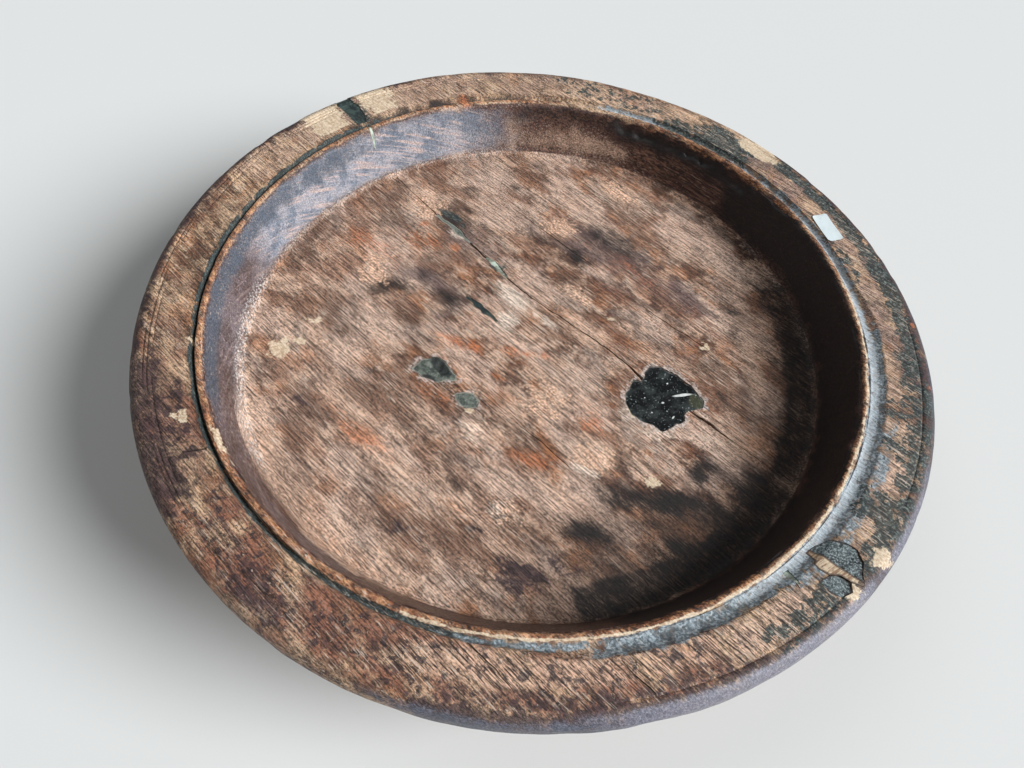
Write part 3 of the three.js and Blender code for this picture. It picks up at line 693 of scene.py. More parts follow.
# Marks on the wood. A spot is x, y, half length, half width, turn and strength.
SPOTS = {
    "pale": [
        (-99, 128, 12, 10, 0, 0.9), (-96, 110, 9, 8, 0, 0.9), (11, 112, 12, 10, 0, 0.7),
        (-120, 43, 10, 12, 0, 0.75), (26, 46, 12, 6, -38, 0.9), (38, 15, 22, 10, -38, 0.85),
        (64, 22, 9, 5, -38, 0.6), (51, -84, 16, 11, -20, 0.9), (18, -46, 17, 13, 0, 0.8),
        (-8, -59, 12, 11, 0, 0.8), (-31, -77, 9, 14, 0, 0.9), (56, 158, 24, 14, -38, 0.75),
        (102, 107, 16, 10, -38, 0.6), (140, -56, 14, 16, 0, 0.75), (153, 2, 6, 36, 0, 1),
        (-122, 89, 14, 6, -20, 0.6), (-69, 77, 10, 5, 0, 0.6), (-115, -69, 42, 10, -33, 0.7),
        (-77, -107, 42, 9, -33, 0.75), (-40, -130, 32, 9, -33, 0.6), (-130, -30, 30, 8, -33, 0.6),
        (94, 0, 30, 8, -34, 0.6), (88, -62, 20, 5, 0, 0.8), (-150, -10, 10, 14, 0, 0.6),
        (0, -150, 50, 8, -33, 0.6), (-10, 125, 9, 6, 0, 0.6), (-60, -72, 30, 9, -35, 0.7),
        (20, -108, 26, 8, -35, 0.65), (-20, 5, 20, 8, -35, 0.6), (60, -8, 12, 7, 0, 0.6),
    ],
    "cream": [
        (-168, -33, 5, 7, 0, 1), (-150.5, -6.5, 4, 2, 20, 1), (-157, -25, 4, 3, 0, 0.6),
        (84, -96, 3, 4, 0, 1), (54, 29, 2, 1.6, 0, 0.9), (-38, -61, 3, 2, 0, 0.8),
        (-194.5, -115, 3.4, 3, 0, 1), (122, 13, 2.6, 2, 0, 1), (204, -143, 5, 4.4, 0, 1),
        (184, -164, 6, 5, 40, 0.9), (-205, -62, 2.4, 2, 0, 0.8), (157, 182, 9, 7, -30, 0.9),
        (71, -50, 3, 2.4, 0, 0.7),
    ],
    "chalk": [
        (-20, 38, 18, 6, -42, 1), (-19, 15, 9, 10, 0, 0.95), (4, 22, 16, 4, -42, 0.75),
        (43, -94, 7, 3.5, -20, 0.9), (-68, 92, 8, 2.6, -38, 0.8), (51, -82, 10, 8, -20, 0.5),
        (-31, -77, 9, 12, 0, 0.55), (-4, -128, 9, 11, 0, 0.5), (60, -6, 10, 6, 0, 0.4),
        (70, -50, 6, 8, 0, 0.6), (88, -60, 16, 4, 0, 0.6), (118, -40, 9, 5, -30, 0.5),
        (-83, 62, 8, 5, 0, 0.3), (75, 150, 22, 7, -38, 0.45), (26, -10, 10, 6, -38, 0.4),
    ],
    "rust": [
        (-51, -8, 17, 6, -10, 0.8), (-12, -9, 14, 4, 0, 0.75), (43, -56, 8, 11, 0, 0.7),
        (-20, -36, 5, 3, 0, 0.6), (13, -92, 16, 9, 0, 0.6), (-92, 98, 4, 5, 0, 0.8),
        (-68, 77, 5, 4, 0, 0.7), (10, -13, 7, 4, -38, 0.7), (-100, -90, 34, 7, -33, 0.6),
        (250, 25, 2, 3, 0, 0.9), (250, 8, 2, 2.4, 0, 0.8), (249, -24, 2, 3, 0, 0.7),
        (-60, -52, 20, 6, -33, 0.5), (-82, 201, 7, 4, -20, 0.8), (70, 75, 30, 8, -36, 0.4),
        (-130, 70, 26, 14, -30, 0.55), (-95, 82, 16, 12, 0, 0.6), (100, -28, 34, 26, 0, 0.35),
    ],
    "dark": [
        (-107, 32, 20, 8, 15, 0.85), (-76, 110, 14, 9, -38, 0.9), (-88, 42, 12, 8, 30, 0.6),
        (51, 107, 32, 13, -30, 0.8), (26, 84, 15, 9, -30, 0.8), (-5, 95, 16, 8, -30, 0.7),
        (118, 73, 10, 6, -38, 0.6), (139, 30, 6, 9, 0, 0.75), (138, 52, 6, 6, 0, 0.7),
        (180, 13, 15, 7, 10, 1), (115, -84, 10, 9, 0, 1), (92, -107, 28, 10, 5, 0.95),
        (64, -110, 15, 10, 0, 0.85), (46, -135, 16, 9, 0, 1), (107, -137, 16, 10, 0, 1),
        (84, -127, 12, 8, 0, 0.8), (-33, -115, 14, 5, -10, 0.55), (-26, 148, 5, 4, 0, 0.6),
        (-36, 168, 10, 8, 0, 0.5), (-62, 140, 9, 9, 0, 0.55), (133, -26, 7, 9, 0, 0.8),
        (20, -74, 7, 4, 0, 0.6), (-60, 26, 14, 5, -38, 0.8), (-45, 100, 12, 6, -38, 0.6),
        (-60, -40, 16, 5, -38, 0.4), (152, -98, 18, 22, 0, 0.95), (165, 60, 8, 30, 15, 0.6),
        (-128, -4, 10, 5, -35, 0.5), (-110, -20, 16, 5, -35, 0.45), (-10, -128, 18, 6, -30, 0.45),
        (130, -118, 26, 14, -30, 0.9), (-60, 118, 10, 5, -38, 0.6), (70, -84, 16, 8, -20, 0.6),
        (95, 40, 26, 7, -36, 0.45), (-130, 60, 6, 5, 0, 0.4),
    ],
    "plum": [
        (13, -168, 14, 9, -10, 1), (-18, -144, 5, 2.6, -10, 1), (-60, -150, 20, 5, -30, 0.5),
        (-147, -70, 14, 5, -35, 0.5), (35, -158, 14, 6, -20, 0.6),
    ],
    "paint": [(-74, 108, 13, 3, -38, 0.8), (-36, 66, 8, 4, -38, 0.7), (112, -33, 6, 4, 0, 0.4)],
    # Spots that darken the tone of the floor's upper part
    "shade": [(-92, 84, 50, 30, -20, 0.55), (-30, 120, 44, 20, -20, 0.45), (60, 84, 50, 22, -34, 0.5)],
    "dusk": [
        (46, 92, 56, 22, -34, 1), (96, 62, 44, 13, -36, 0.8), (-60, 88, 30, 17, -35, 0.9),
        (-84, 44, 26, 12, -20, 0.8), (-66, 4, 24, 7, -36, 0.7), (-16, 108, 22, 9, -34, 0.6),
    ],
    "knot": [
        (-94, 119, 11, 10, 0, 0.95), (-121, 46, 9, 11, 0, 0.95), (11, 111, 11, 8, 0, 0.9),
        (26, 48, 9, 5, -38, 0.9), (49, -86, 12, 9, 0, 0.8), (13, -46, 14, 11, 0, 0.55),
        (-3, -128, 8, 10, 0, 0.5), (54, 160, 16, 8, -38, 0.7),
    ],
}

# A band is start and end azimuth, inner and outer radius, and strength.
BANDS = {
    "tan": [(-180, 180, 209, 264, 1)],
    "bleach": [(86, 282, 84, 196, 0.75), (40, 86, 120, 196, 0.6), (196, 268, 168, 202, 1)],
    # Painted shadow: the first four bands paint the right wall's shadow on the floor beside it; the
    # others darken the tone of the rim and of the floor at the upper left.
    "shade": [
        (-70, 30, 162, 204, 0.9), (-86, -40, 124, 200, 0.8), (-90, -20, 158, 204, 1),
        (-34, 36, 138, 190, 0.8), (88, 160, 217, 252, 0.42), (150, 196, 217, 252, 0.3),
        (192, 230, 217, 252, 0.55), (84, 126, 150, 196, 0.3),
    ],
    "wall": [
        (-112, 180, 195.5, 210, 1), (170, 204, 198, 210, 1), (200, 234, 199.5, 210, 1),
        (228, 262, 202.5, 210, 1),
    ],
    "red": [
        (222, 304, 217, 250, 0.85), (194, 226, 217, 248, 0.85), (210, 250, 240, 258, 0.7),
        (150, 190, 228, 250, 0.4), (60, 112, 236, 250, 0.35), (20, 50, 216, 232, 0.3),
    ],
    "pale": [
        (299, 314, 226, 243, 0.85), (326, 329.5, 221, 240, 0.9), (334, 340, 221, 241, 0.95),
        (343.5, 347, 220, 243, 0.95), (349, 360, 221, 236, 0.6), (0, 46, 222, 236, 0.45),
        (62, 106, 219, 246, 0.6), (106, 160, 219, 247, 0.65), (183, 222, 220, 242, 0.4),
        (202, 256, 178, 199, 0.6), (258, 300, 221, 238, 0.6), (85, 90, 195, 205, 0.7),
        (98, 104, 195, 207, 0.7), (74, 92, 196, 203, 0.7), (78, 112, 195, 203, 0.5),
        (111.5, 117.5, 195, 214, 1), (120, 128, 196, 203, 0.5),
    ],
    "cream": [
        (125.5, 131.3, 222, 249, 0.65), (136.2, 142.5, 222, 250, 0.7), (47.2, 52.3, 233, 247, 0.8),
        (312, 327, 212.4, 213.8, 1), (256, 312, 213.0, 214.0, 0.9), (0, 14, 212.2, 213.2, 0.8),
        (215, 217, 209, 213, 1), (327, 360, 212.4, 213.4, 0.7),
    ],
    # Blue-grey paint in the groove and the cove, with a painted sheen that makes it light grey-blue in
    # places
    "slate": [
        (283, 366, 213.8, 224, 1), (46, 84, 214, 219, 0.9), (264, 283, 214.8, 218.6, 1),
        (287, 305, 216, 225, 0.6), (312, 347, 216, 231, 0.7), (0, 46, 213.8, 219.5, 0.9),
    ],
    "paint": [
        (50, 62, 215, 243, 0.9), (60, 70, 215, 230, 0.7), (-6, 47, 236, 246, 0.9),
        (316, 356, 237, 249, 0.75), (329, 333.5, 222, 241, 0.9), (340.5, 343.5, 226, 241, 0.85),
        (305, 318, 234, 247, 0.6), (70, 92, 222, 247, 0.3), (131.6, 135.4, 219, 256, 1),
        (347.5, 350, 224, 240, 0.6), (350, 362, 233, 246, 0.7), (16, 24, 221, 227, 0.6),
    ],
    "plum": [
        (186, 212, 246, 258, 0.8), (212, 256, 250, 258, 0.45), (226, 262, 228, 244, 0.4),
        (198, 224, 234, 256, 0.8), (298, 366, 243, 250, 0.9), (236, 246, 234, 250, 0.7),
        (202, 220, 222, 256, 0.6), (100, 140, 249, 262, 0.8), (264, 302, 238, 249, 0.5),
        (196, 224, 240, 250, 0.45), (0, 48, 245, 262, 1), (318, 360, 246, 262, 1),
        (262, 290, 247, 258, 0.9), (120, 188, 245, 258, 0.75), (48, 120, 248, 258, 0.6),
        (143, 158, 207, 213, 0.6), (280, 316, 244, 250, 0.8), (160, 222, 218, 228, 0.25),
    ],
    # Painted shadow and dark stain: the right wall is painted black as both, the top of the wall
    # further round as in cast shadow, and the floor at the walls' foot as in their shadow; the bands
    # at radii 214 to 219 darken the groove.
    "dark": [
        (-72, 50, 195, 211, 1), (46, 80, 203, 210.4, 1), (78, 104, 205, 210, 0.7),
        (138, 228, 214.4, 217.2, 0.85), (236, 283, 214.2, 216, 0.6), (-28, 26, 174, 196, 0.8),
        (-78, -26, 172, 196, 0.9), (100, 138, 214.2, 219, 1), (26, 70, 184, 196, 0.5),
    ],
    # Painted reflection: the blue-grey sheen of the light mirrored in the left wall, fading further
    # round
    "bloom": [(104, 176, 196, 209, 1), (176, 202, 196, 209.5, 0.7), (198, 226, 196, 209.5, 0.4)],
    # Painted highlights, bright and grainy, in the groove and cove on the right and on the edge at the
    # near right
    "frost": [
        (306, 366, 214.6, 220, 1), (0, 34, 214.4, 218.6, 1), (46, 84, 215, 218, 0.6),
        (290, 320, 250, 256, 0.6),
    ],
    "teal": [(222, 270, 214.8, 217.6, 1), (124, 222, 214.4, 217.2, 0.85), (272, 308, 215, 220, 0.4)],
    # Painted blue-grey reflection, in a strip under the lip of the left wall and on the outer edge
    "steel": [
        (152, 212, 204.4, 209.6, 1), (134, 156, 202.6, 209.6, 0.8), (112, 134, 206, 209.6, 0.5),
        (-24, 20, 250, 262, 0.6), (256, 284, 251, 262, 0.5),
    ],
    "mauve": [(170, 206, 195.5, 206, 0.9), (200, 250, 201, 209.6, 0.75)],
    "dusk": [
        (350, 420, 219, 246, 0.75), (320, 350, 226, 240, 0.5), (84, 120, 236, 254, 0.6),
        (94, 152, 249, 262, 0.8),
    ],
    "spatter": [
        (222, 300, 219, 250, 0.9), (196, 226, 232, 256, 0.8), (126, 200, 240, 256, 0.7),
        (300, 350, 226, 250, 0.5), (84, 124, 232, 250, 0.5),
    ],
    "hatch": [
        (256, 318, 219, 243, 1), (226, 256, 219, 246, 0.5), (334, 366, 220, 238, 0.5),
        (58, 120, 219, 246, 0.4), (128, 226, 219, 246, 0.35),
    ],
    # Painted sheen on the rim's outer edge, strongest at the near right
    "lilac": [
        (282, 322, 248.5, 258, 1), (322, 342, 249, 258, 0.8), (342, 352, 251, 258, 0.4),
        (258, 284, 251, 258, 0.7), (205, 258, 252, 258, 0.2),
    ],
    "crust": [(172, 220, 192.5, 198.5, 1), (98, 172, 193, 197.5, 0.7)],
    "worn": [
        (36, 74, 210.4, 213.6, 0.95), (165, 264, 210, 214.2, 0.95), (262, 312, 209.8, 213, 0.9),
        (0, 36, 211.2, 212.8, 0.9), (92, 170, 211, 214, 0.7), (312, 360, 210.6, 211.8, 0.8),
    ],
}
MARKS = sorted(set(SPOTS) | set(BANDS))
# Fades in mm, along and across a band
FADES = {
    "bloom": (80, 3),
    "lilac": (50, 4),
    "wall": (5, 2),
    "slate": (14, 2.5),
    "crust": (20, 3),
    "frost": (20, 2),
    "cream": (10, 1.2),
    "mauve": (40, 5),
    "spatter": (20, 8),
    "worn": (20, 1.5),
    "bleach": (90, 40),
    "shade": (70, 22),
    "steel": (40, 4),
    "teal": (30, 1.5),
    "red": (50, 8),
}
USUAL_FADE = (16, 5)
# Marks that follow the turned rings and so don't end in fingers along the grain
ROUND_MARKS = (
    "tan", "wall", "bloom", "crust", "lilac", "bleach", "shade", "steel", "mauve", "frost",
)
# Marks whose bands are narrow, so they wander across the ring less than others
NARROW_MARKS = ("worn", "cream", "slate", "teal")
# Thickness of wood under the top that counts as the top, so cuts into it are included
TOP_LAYER = 11.5
# Azimuth at which the distance round the dish starts, in the darkest part of the wall
SEAM_AZIMUTH = -60.0
# Width of the pale halo round a filling in the floor
HALO_WIDTH = 4.5
# Fillings with a halo, and how strong it is
HALOS = ((PLUG_OUTLINE, 1), (LEFT_FILL_OUTLINE, 0.6), (LOWER_FILL_OUTLINE, 0.4))
# Depth in mm at which the painted shade inside a cut starts, and over which it deepens
CUT_DARKENS = 0.5
CUT_DARKENING = 2.0
# Width of a filling's edge
FILL_EDGE_WIDTH = 2.6
# White flecks and the olive lobe on the resin plug, and the painted shadow crescent in the pit of the
# left filling
FILL_SPOTS = {
    "fleck": [
        (104, -27.5, 7, 1.1, 17, 1), (94, -19, 0.8, 0.7, 0, 1), (91, -35.5, 1, 0.8, 0, 1),
        (84, -44, 0.8, 0.6, 0, 0.9), (79, -33, 0.7, 0.7, 0, 0.8), (98, -46, 1.7, 0.6, 60, 0.9),
    ],
    "shadow_crescent": [(-60, -30, 13, 4.5, -45, 1), (-65, -41.5, 6, 2.2, -20, 1)],
    "olive": [(114, -31, 6, 6, 0, 1)],
}


def fingered(x, y, seed):
    """Moves places along and across the grain by noise, so marks end in fingers."""
    along, across = along_grain(x, y)
    push = 5 * noise(along / 8, across, 5.0, seed, 2) + 2.5 * noise(x, y, 18.0, seed + 3)
    aside = 2.5 * noise(x, y, 18.0, seed + 5)
    dx, dy = turned(push, aside, GRAIN_AZIMUTH)
    return x + dx, y + dy


def strongest_spot(x, y, spots):
    """Strength of the strongest spot: full in its inner third, half at its edge, then fading."""
    strength = np.zeros_like(x)
    for middle_x, middle_y, length, width, turn, most in spots:
        along, across = turned(x - middle_x, y - middle_y, -turn)
        off = np.hypot(along / length, across / width)
        strength = np.maximum(strength, most * np.clip(1.25 - 0.75 * off, 0, 1))
    return strength


def band_strength(radius, azimuth, band, fade):
    """Full inside a band, half at its edge, and 0 past its fade. A whole ring has no ends."""
    start, end, inner, outer, most = band
    along = np.ones_like(radius)
    if end - start < 359:
        off = np.abs(degrees_from(azimuth, (start + end) / 2)) - (end - start) / 2
        along = np.clip(0.5 - off * math.radians(1) * (inner + outer) / 2 / fade[0], 0, 1)
    across = np.abs(radius - (inner + outer) / 2) - (outer - inner) / 2
    return most * along * np.clip(0.5 - across / fade[1], 0, 1)


def mark_strength(kind, x, y):
    """Strength of a kind of mark, from its spots and its bands."""
    radius, azimuth = round_place(x, y)
    spread_x, spread_y = fingered(x, y, MARK_SEED + 10 * MARKS.index(kind))
    strength = strongest_spot(spread_x, spread_y, SPOTS.get(kind, []))
    if kind not in ROUND_MARKS:
        wander = 0.1 if kind in NARROW_MARKS else 0.4
        radius = radius + wander * (np.hypot(spread_x, spread_y) - np.hypot(x, y))
        azimuth = np.degrees(np.arctan2(spread_y, spread_x))
    fade = FADES.get(kind, USUAL_FADE)
    for band in BANDS.get(kind, []):
        strength = np.maximum(strength, band_strength(radius, azimuth, band, fade))
    return strength


def near_edge(x, y, outline, reach):
    """1 at the edge of an outline, falling to 0 at a distance from it."""
    corners = np.array(outline, float)
    nearest = np.full(np.shape(x), 1e9)
    for a, b in zip(corners, np.roll(corners, -1, axis=0)):
        step = b - a
        share = ((x - a[0]) * step[0] + (y - a[1]) * step[1]) / max(step @ step, 1e-9)
        share = np.clip(share, 0, 1)
        gap = np.hypot(x - a[0] - share * step[0], y - a[1] - share * step[1])
        nearest = np.minimum(nearest, gap)
    return np.clip(1 - nearest / reach, 0, 1)


def places_of(piece):
    """The x, y and z of a piece's points, in millimetres."""
    places = np.empty(len(piece.data.vertices) * 3)
    piece.data.vertices.foreach_get("co", places)
    return places.reshape(-1, 3).T / MM


def add_mark(piece, name, values):
    layer = piece.data.attributes.new(name, "FLOAT", "POINT")
    layer.data.foreach_set("value", np.asarray(values, np.float32))


def paint_dish(dish):
    """Writes every kind of mark, and the depth under the surface for the painted shade in cuts, onto
    the slab's points.
    """
    x, y, z = places_of(dish)
    top = top_height(x, y)
    on_top = z > top - TOP_LAYER
    for kind in MARKS:
        add_mark(dish, kind, np.where(on_top, mark_strength(kind, x, y), 0))
    halo = np.zeros_like(x)
    for outline, most in HALOS:
        halo = np.maximum(halo, most * near_edge(x, y, outline, HALO_WIDTH))
    add_mark(dish, "halo", np.where(on_top, halo, 0))
    azimuth = np.degrees(np.arctan2(y, x))
    add_mark(dish, "around", (azimuth - SEAM_AZIMUTH) % 360 * math.radians(LIP_RADIUS) * MM)
    inside = on_top & (np.hypot(x, y) < RIM_RADIUS - EDGE_WIDTH)
    # Painted shade inside cuts, from their depth
    below = np.clip((top - z - CUT_DARKENS) / CUT_DARKENING, 0, 1)
    add_mark(dish, "below", np.where(inside, below, 0))


def paint_fill(fill, edge):
    """Writes the nearness of a filling's edge, and its flecks, onto its points."""
    x, y = places_of(fill)[:2]
    add_mark(fill, "rim", near_edge(x, y, edge, FILL_EDGE_WIDTH))
    for name, spots in FILL_SPOTS.items():
        add_mark(fill, name, strongest_spot(x, y, spots))


# Materials


def linear(colour):
    """Linear colour from three screen values of 0 to 255. A node's output stays as it is."""
    if not isinstance(colour, tuple):
        return colour
    values = np.array(colour) / 255.0
    return (*np.where(values <= 0.04045, values / 12.92, ((values + 0.055) / 1.055) ** 2.4), 1)


class Look:
    """A material, and short calls that add its nodes.

    A value is a number, a node's output, or the name of a field of noise or of a mark.
    """

    def __init__(self, name, **noises):
        self.material = bpy.data.materials.new(name)
        self.material.use_nodes = True
        self.tree = self.material.node_tree
        self.fields = {}
        for kind, numbers in noises.items():
            self.fields[kind] = self.noise(*numbers)

    def add(self, kind, inputs, **settings):
        node = self.tree.nodes.new(kind)
        for key, value in settings.items():
            setattr(node, key, value)
        for key, value in inputs.items():
            self.put(node, key, value)
        return node

    def put(self, node, key, value):
        if isinstance(value, str):
            value = self.fields[value] if value in self.fields else self.mark(value)
        if isinstance(value, bpy.types.NodeSocket):
            self.tree.links.new(value, node.inputs[key])
        else:
            node.inputs[key].default_value = value

    def mark(self, name):
        return self.add("ShaderNodeAttribute", {}, attribute_name=name).outputs["Fac"]

    def place(self, turn=0, scale=(1, 1, 1)):
        """Object coordinates, turned about Z and then scaled."""
        place = self.add("ShaderNodeTexCoord", {}).outputs["Object"]
        inputs = {"Vector": place, "Rotation": (0, 0, math.radians(turn))}
        place = self.add("ShaderNodeMapping", inputs).outputs[0]
        return self.add("ShaderNodeMapping", {"Vector": place, "Scale": scale}).outputs[0]

    def noise(self, scale, detail, roughness, stretch=1, distortion=0, place=None):
        """Noise from 0 to 1, drawn out along the grain by a stretch, or at a place of its own."""
        if place is None:
            place = self.place(-GRAIN_AZIMUTH if stretch > 1 else 0, (1, stretch, stretch))
        inputs = {
            "Vector": place,
            "Scale": scale,
            "Detail": detail,
            "Roughness": roughness,
            "Distortion": distortion,
        }
        return self.add("ShaderNodeTexNoise", inputs).outputs["Fac"]

    def ramp(self, value, low, high, end=1, start=0):
        """Smooth change from start to end, while a value goes from low to high."""
        inputs = {"Value": value, "From Min": low, "From Max": high, "To Min": start, "To Max": end}
        node = self.add("ShaderNodeMapRange", inputs, interpolation_type="SMOOTHSTEP")
        return node.outputs["Result"]

    def sum(self, *parts):
        """Sum of values, each one times its own number."""
        total = 0
        for value, factor in parts:
            inputs = {0: value, 1: factor, 2: total}
            total = self.add("ShaderNodeMath", inputs, operation="MULTIPLY_ADD").outputs[0]
        return total

    def times(self, a, b):
        return self.add("ShaderNodeMath", {0: a, 1: b}, operation="MULTIPLY").outputs[0]

    def mix(self, share, under, over, blend="MIX"):
        inputs = {0: share, 6: linear(under), 7: linear(over)}
        return self.add("ShaderNodeMix", inputs, data_type="RGBA", blend_type=blend).outputs[2]

    def blend(self, value, low, high, under, over):
        """Colour that changes from one to another, while a value goes from low to high."""
        return self.mix(self.ramp(value, low, high), under, over)

    def cover(self, mark, field, breakup, soft, most=1):
        """How much of a mark shows, where a field thins it out towards its edges."""
        return self.ramp(self.sum((mark, 1), (field, -breakup)), 0, soft, most)

    def layers(self, colour, *rows):
        """Colour with others laid over it in turn, each by its share."""
        for share, over in rows:
            colour = self.mix(share, colour, over)
        return colour

    def finish(self, colour, roughness, height=None, depth=0, strength=1, specular=0.5):
        """Gives the material its colour, its roughness and a relief as deep as depth."""
        shader = self.tree.nodes["Principled BSDF"]
        inputs = {"Base Color": linear(colour), "Roughness": roughness, "Specular IOR Level": specular}
        if height is not None:
            relief = {"Height": height, "Distance": depth, "Strength": strength}
            inputs["Normal"] = self.add("ShaderNodeBump", relief).outputs[0]
        for key, value in inputs.items():
            self.put(shader, key, value)
        return self.material


def dish_fields(look):
    """Adds fields that are sums of the wood's noises, with more contrast."""
    sums = {
        "clouded": (0.4, 0.6, ("clouds", 0.6), ("strokes", 0.4)),
        "veiled": (0.38, 0.62, ("clouds", 0.35), ("strokes", 0.65)),
        "flaked": (0.42, 0.6, ("flakes", 0.55), ("clouds", 0.2), ("strokes", 0.25)),
        "dusted": (0.42, 0.6, ("dust", 0.6), ("flakes", 0.4)),
        "patched": (0.42, 0.6, ("patches", 0.6), ("dust", 0.2), ("flakes", 0.2)),
    }
    for kind, (low, high, *parts) in sums.items():
        look.fields[kind] = look.ramp(look.sum(*parts), low, high)


def slanted(look):
    """Place on the wall for scrapes that run round and down it at a slant."""
    height = look.add("ShaderNodeSeparateXYZ", {0: look.place()}).outputs["Z"]
    across = look.sum(("around", 150), (height, -400))
    along = look.sum(("around", 22), (height, 8))
    return look.add("ShaderNodeCombineXYZ", {"X": across, "Y": along}).outputs[0]


def floor_wood(look):
    blots = look.times(look.ramp("flakes", 0.52, 0.6), look.ramp("clouds", 0.54, 0.44, 0.85, 0.15))
    return look.layers(
        look.blend("clouds", 0.43, 0.57, (88, 60, 46), (182, 150, 128)),
        (look.ramp("hues", 0.5, 0.4, 0.6), (128, 84, 60)),
        (look.ramp("hues", 0.52, 0.62, 0.6), (130, 114, 106)),
        (look.ramp("warmth", 0.52, 0.62, 0.6), (162, 108, 72)),
        (look.cover("bleach", "veiled", 0.5, 1.0, 0.45), (188, 158, 138)),
        (look.ramp("broad", 0.5, 0.6, 0.7), (194, 166, 148)),
        (look.ramp("broad", 0.47, 0.38, 0.7), (104, 76, 60)),
        (look.times(blots, 0.6), (64, 45, 38)),
        (look.ramp("hatches", 0.54, 0.6, 0.5), (74, 50, 40)),
    )


def rim_wood(look):
    return look.layers(
        look.blend("clouds", 0.42, 0.58, (98, 70, 52), (184, 152, 122)),
        (look.ramp("hues", 0.5, 0.4, 0.7), (100, 68, 52)),
        (look.ramp("warmth", 0.52, 0.62, 0.5), (158, 106, 72)),
        (look.ramp("broad", 0.5, 0.62, 0.6), (190, 160, 132)),
        (look.ramp("flakes", 0.51, 0.62, 0.6), (56, 43, 38)),
    )


def wall_wood(look):
    streaked = look.blend("streaks", 0.42, 0.58, (48, 32, 29), (116, 84, 68))
    return look.layers(streaked, (look.ramp("clouds", 0.42, 0.58, 0.6), (70, 42, 38)))


def stained_and_shaded(look, wood):
    """Wood with stain marks, painted shadow by the right wall, darker tone, rubbed and chalky places,
    dark hatches and spatter.
    """
    knot = look.blend("dust", 0.42, 0.6, (212, 176, 150), (166, 122, 96))
    worn = look.blend("patches", 0.4, 0.56, (178, 130, 94), (122, 76, 52))
    worn = look.mix(look.ramp("patches", 0.56, 0.62, 0.9), worn, (44, 34, 32))
    return look.layers(
        wood,
        (look.cover("red", "clouded", 0.7, 0.9, 0.75), (138, 90, 70)),
        (look.cover("dusk", "clouded", 0.6, 0.8, 0.75), (104, 86, 84)),
        (look.cover("pale", "veiled", 0.55, 0.7, 0.85), (196, 164, 142)),
        # Painted shadow of the right wall on the floor, and darker tone on the rim and floor
        (look.cover("shade", "veiled", 0.3, 1.1, 0.75), (72, 51, 38)),
        # Dark stains, and the painted shadow on the right wall and on the floor at its foot
        (look.cover("dark", "veiled", 0.5, 0.75, 0.95), (24, 21, 21)),
        (look.cover("plum", "patched", 0.7, 0.5, 0.88), (50, 36, 41)),
        (look.cover("rust", "veiled", 0.6, 0.6, 0.8), (178, 106, 66)),
        (look.cover("knot", "patched", 0.6, 0.25, 0.7), knot),
        (look.cover("chalk", "veiled", 0.6, 0.6, 0.85), (208, 190, 174)),
        (look.times("hatch", look.ramp("hatches", 0.54, 0.59, 0.95)), (54, 38, 33)),
        (look.cover("worn", "flaked", 0.8, 0.3, 0.9), worn),
        (look.times("spatter", look.ramp("patches", 0.54, 0.6, 0.9)), (46, 38, 42)),
    )


def paint_and_sheen(look, wood):
    """Wood with traces of dark and blue-grey paint, and painted sheen and highlights in the groove and
    on the edge.
    """
    teal = look.blend("dust", 0.42, 0.64, (36, 45, 45), (82, 94, 94))
    # Blue-grey paint, running up to a light grey-blue painted sheen
    slate = look.blend("dust", 0.4, 0.62, (84, 95, 100), (160, 171, 178))
    slate = look.mix(look.ramp("patches", 0.5, 0.57, 0.7), slate, (60, 70, 74))
    paint = look.blend("dust", 0.45, 0.66, (38, 44, 43), (104, 114, 110))
    # Colour of the painted sheen on the outer edge
    lilac = look.blend("dust", 0.4, 0.6, (92, 91, 104), (130, 130, 143))
    return look.layers(
        wood,
        (look.cover("teal", "patched", 0.6, 0.3, 0.95), teal),
        (look.cover("slate", "patched", 0.7, 0.5, 0.95), slate),
        # Painted grainy highlights
        (look.cover("frost", "dusted", 0.9, 0.4, 0.5), (200, 208, 214)),
        (look.cover("paint", "patched", 0.8, 0.2, 0.94), paint),
        # Painted sheen on the outer edge
        (look.cover("lilac", "clouded", 0.4, 0.7, 0.9), lilac),
    )


def sheen_and_crust(look, wood):
    """Wood with the wall's painted blue-grey sheen and the painted reflection under the lip, scrapes
    and crust, and halos round the fillings.
    """
    bundles = look.times(look.ramp("scrapes", 0.51, 0.6), look.ramp("hues", 0.44, 0.54, 0.9, 0.15))
    # Colour of the painted sheen on the wall, with pink scrapes in it
    bloom = look.layers(
        look.blend("clouds", 0.42, 0.58, (106, 116, 130), (154, 154, 163)),
        (bundles, (184, 162, 156)),
        (look.ramp("scrapes", 0.46, 0.36, 0.45), (100, 92, 100)),
    )
    mauve = look.layers(
        look.blend("clouds", 0.42, 0.58, (74, 55, 51), (98, 85, 90)),
        (look.ramp("scrapes", 0.54, 0.62, 0.45), (142, 122, 118)),
        (look.ramp("dust", 0.54, 0.64, 0.4), (142, 130, 130)),
    )
    crust = look.times(look.cover("crust", "patches", 0.5, 0.9), look.ramp("dust", 0.47, 0.6, 0.75))
    return look.layers(
        wood,
        # Painted blue-grey sheen on the left wall
        (look.cover("bloom", "clouded", 0.35, 0.8, 0.92), bloom),
        (look.cover("mauve", "clouded", 0.4, 0.7, 0.85), mauve),
        # Painted blue-grey reflection
        (look.cover("steel", "clouded", 0.4, 0.7, 0.9), (72, 80, 92)),
        (crust, (206, 199, 195)),
        (look.cover("halo", "patched", 0.9, 0.4, 0.75), (180, 166, 158)),
    )


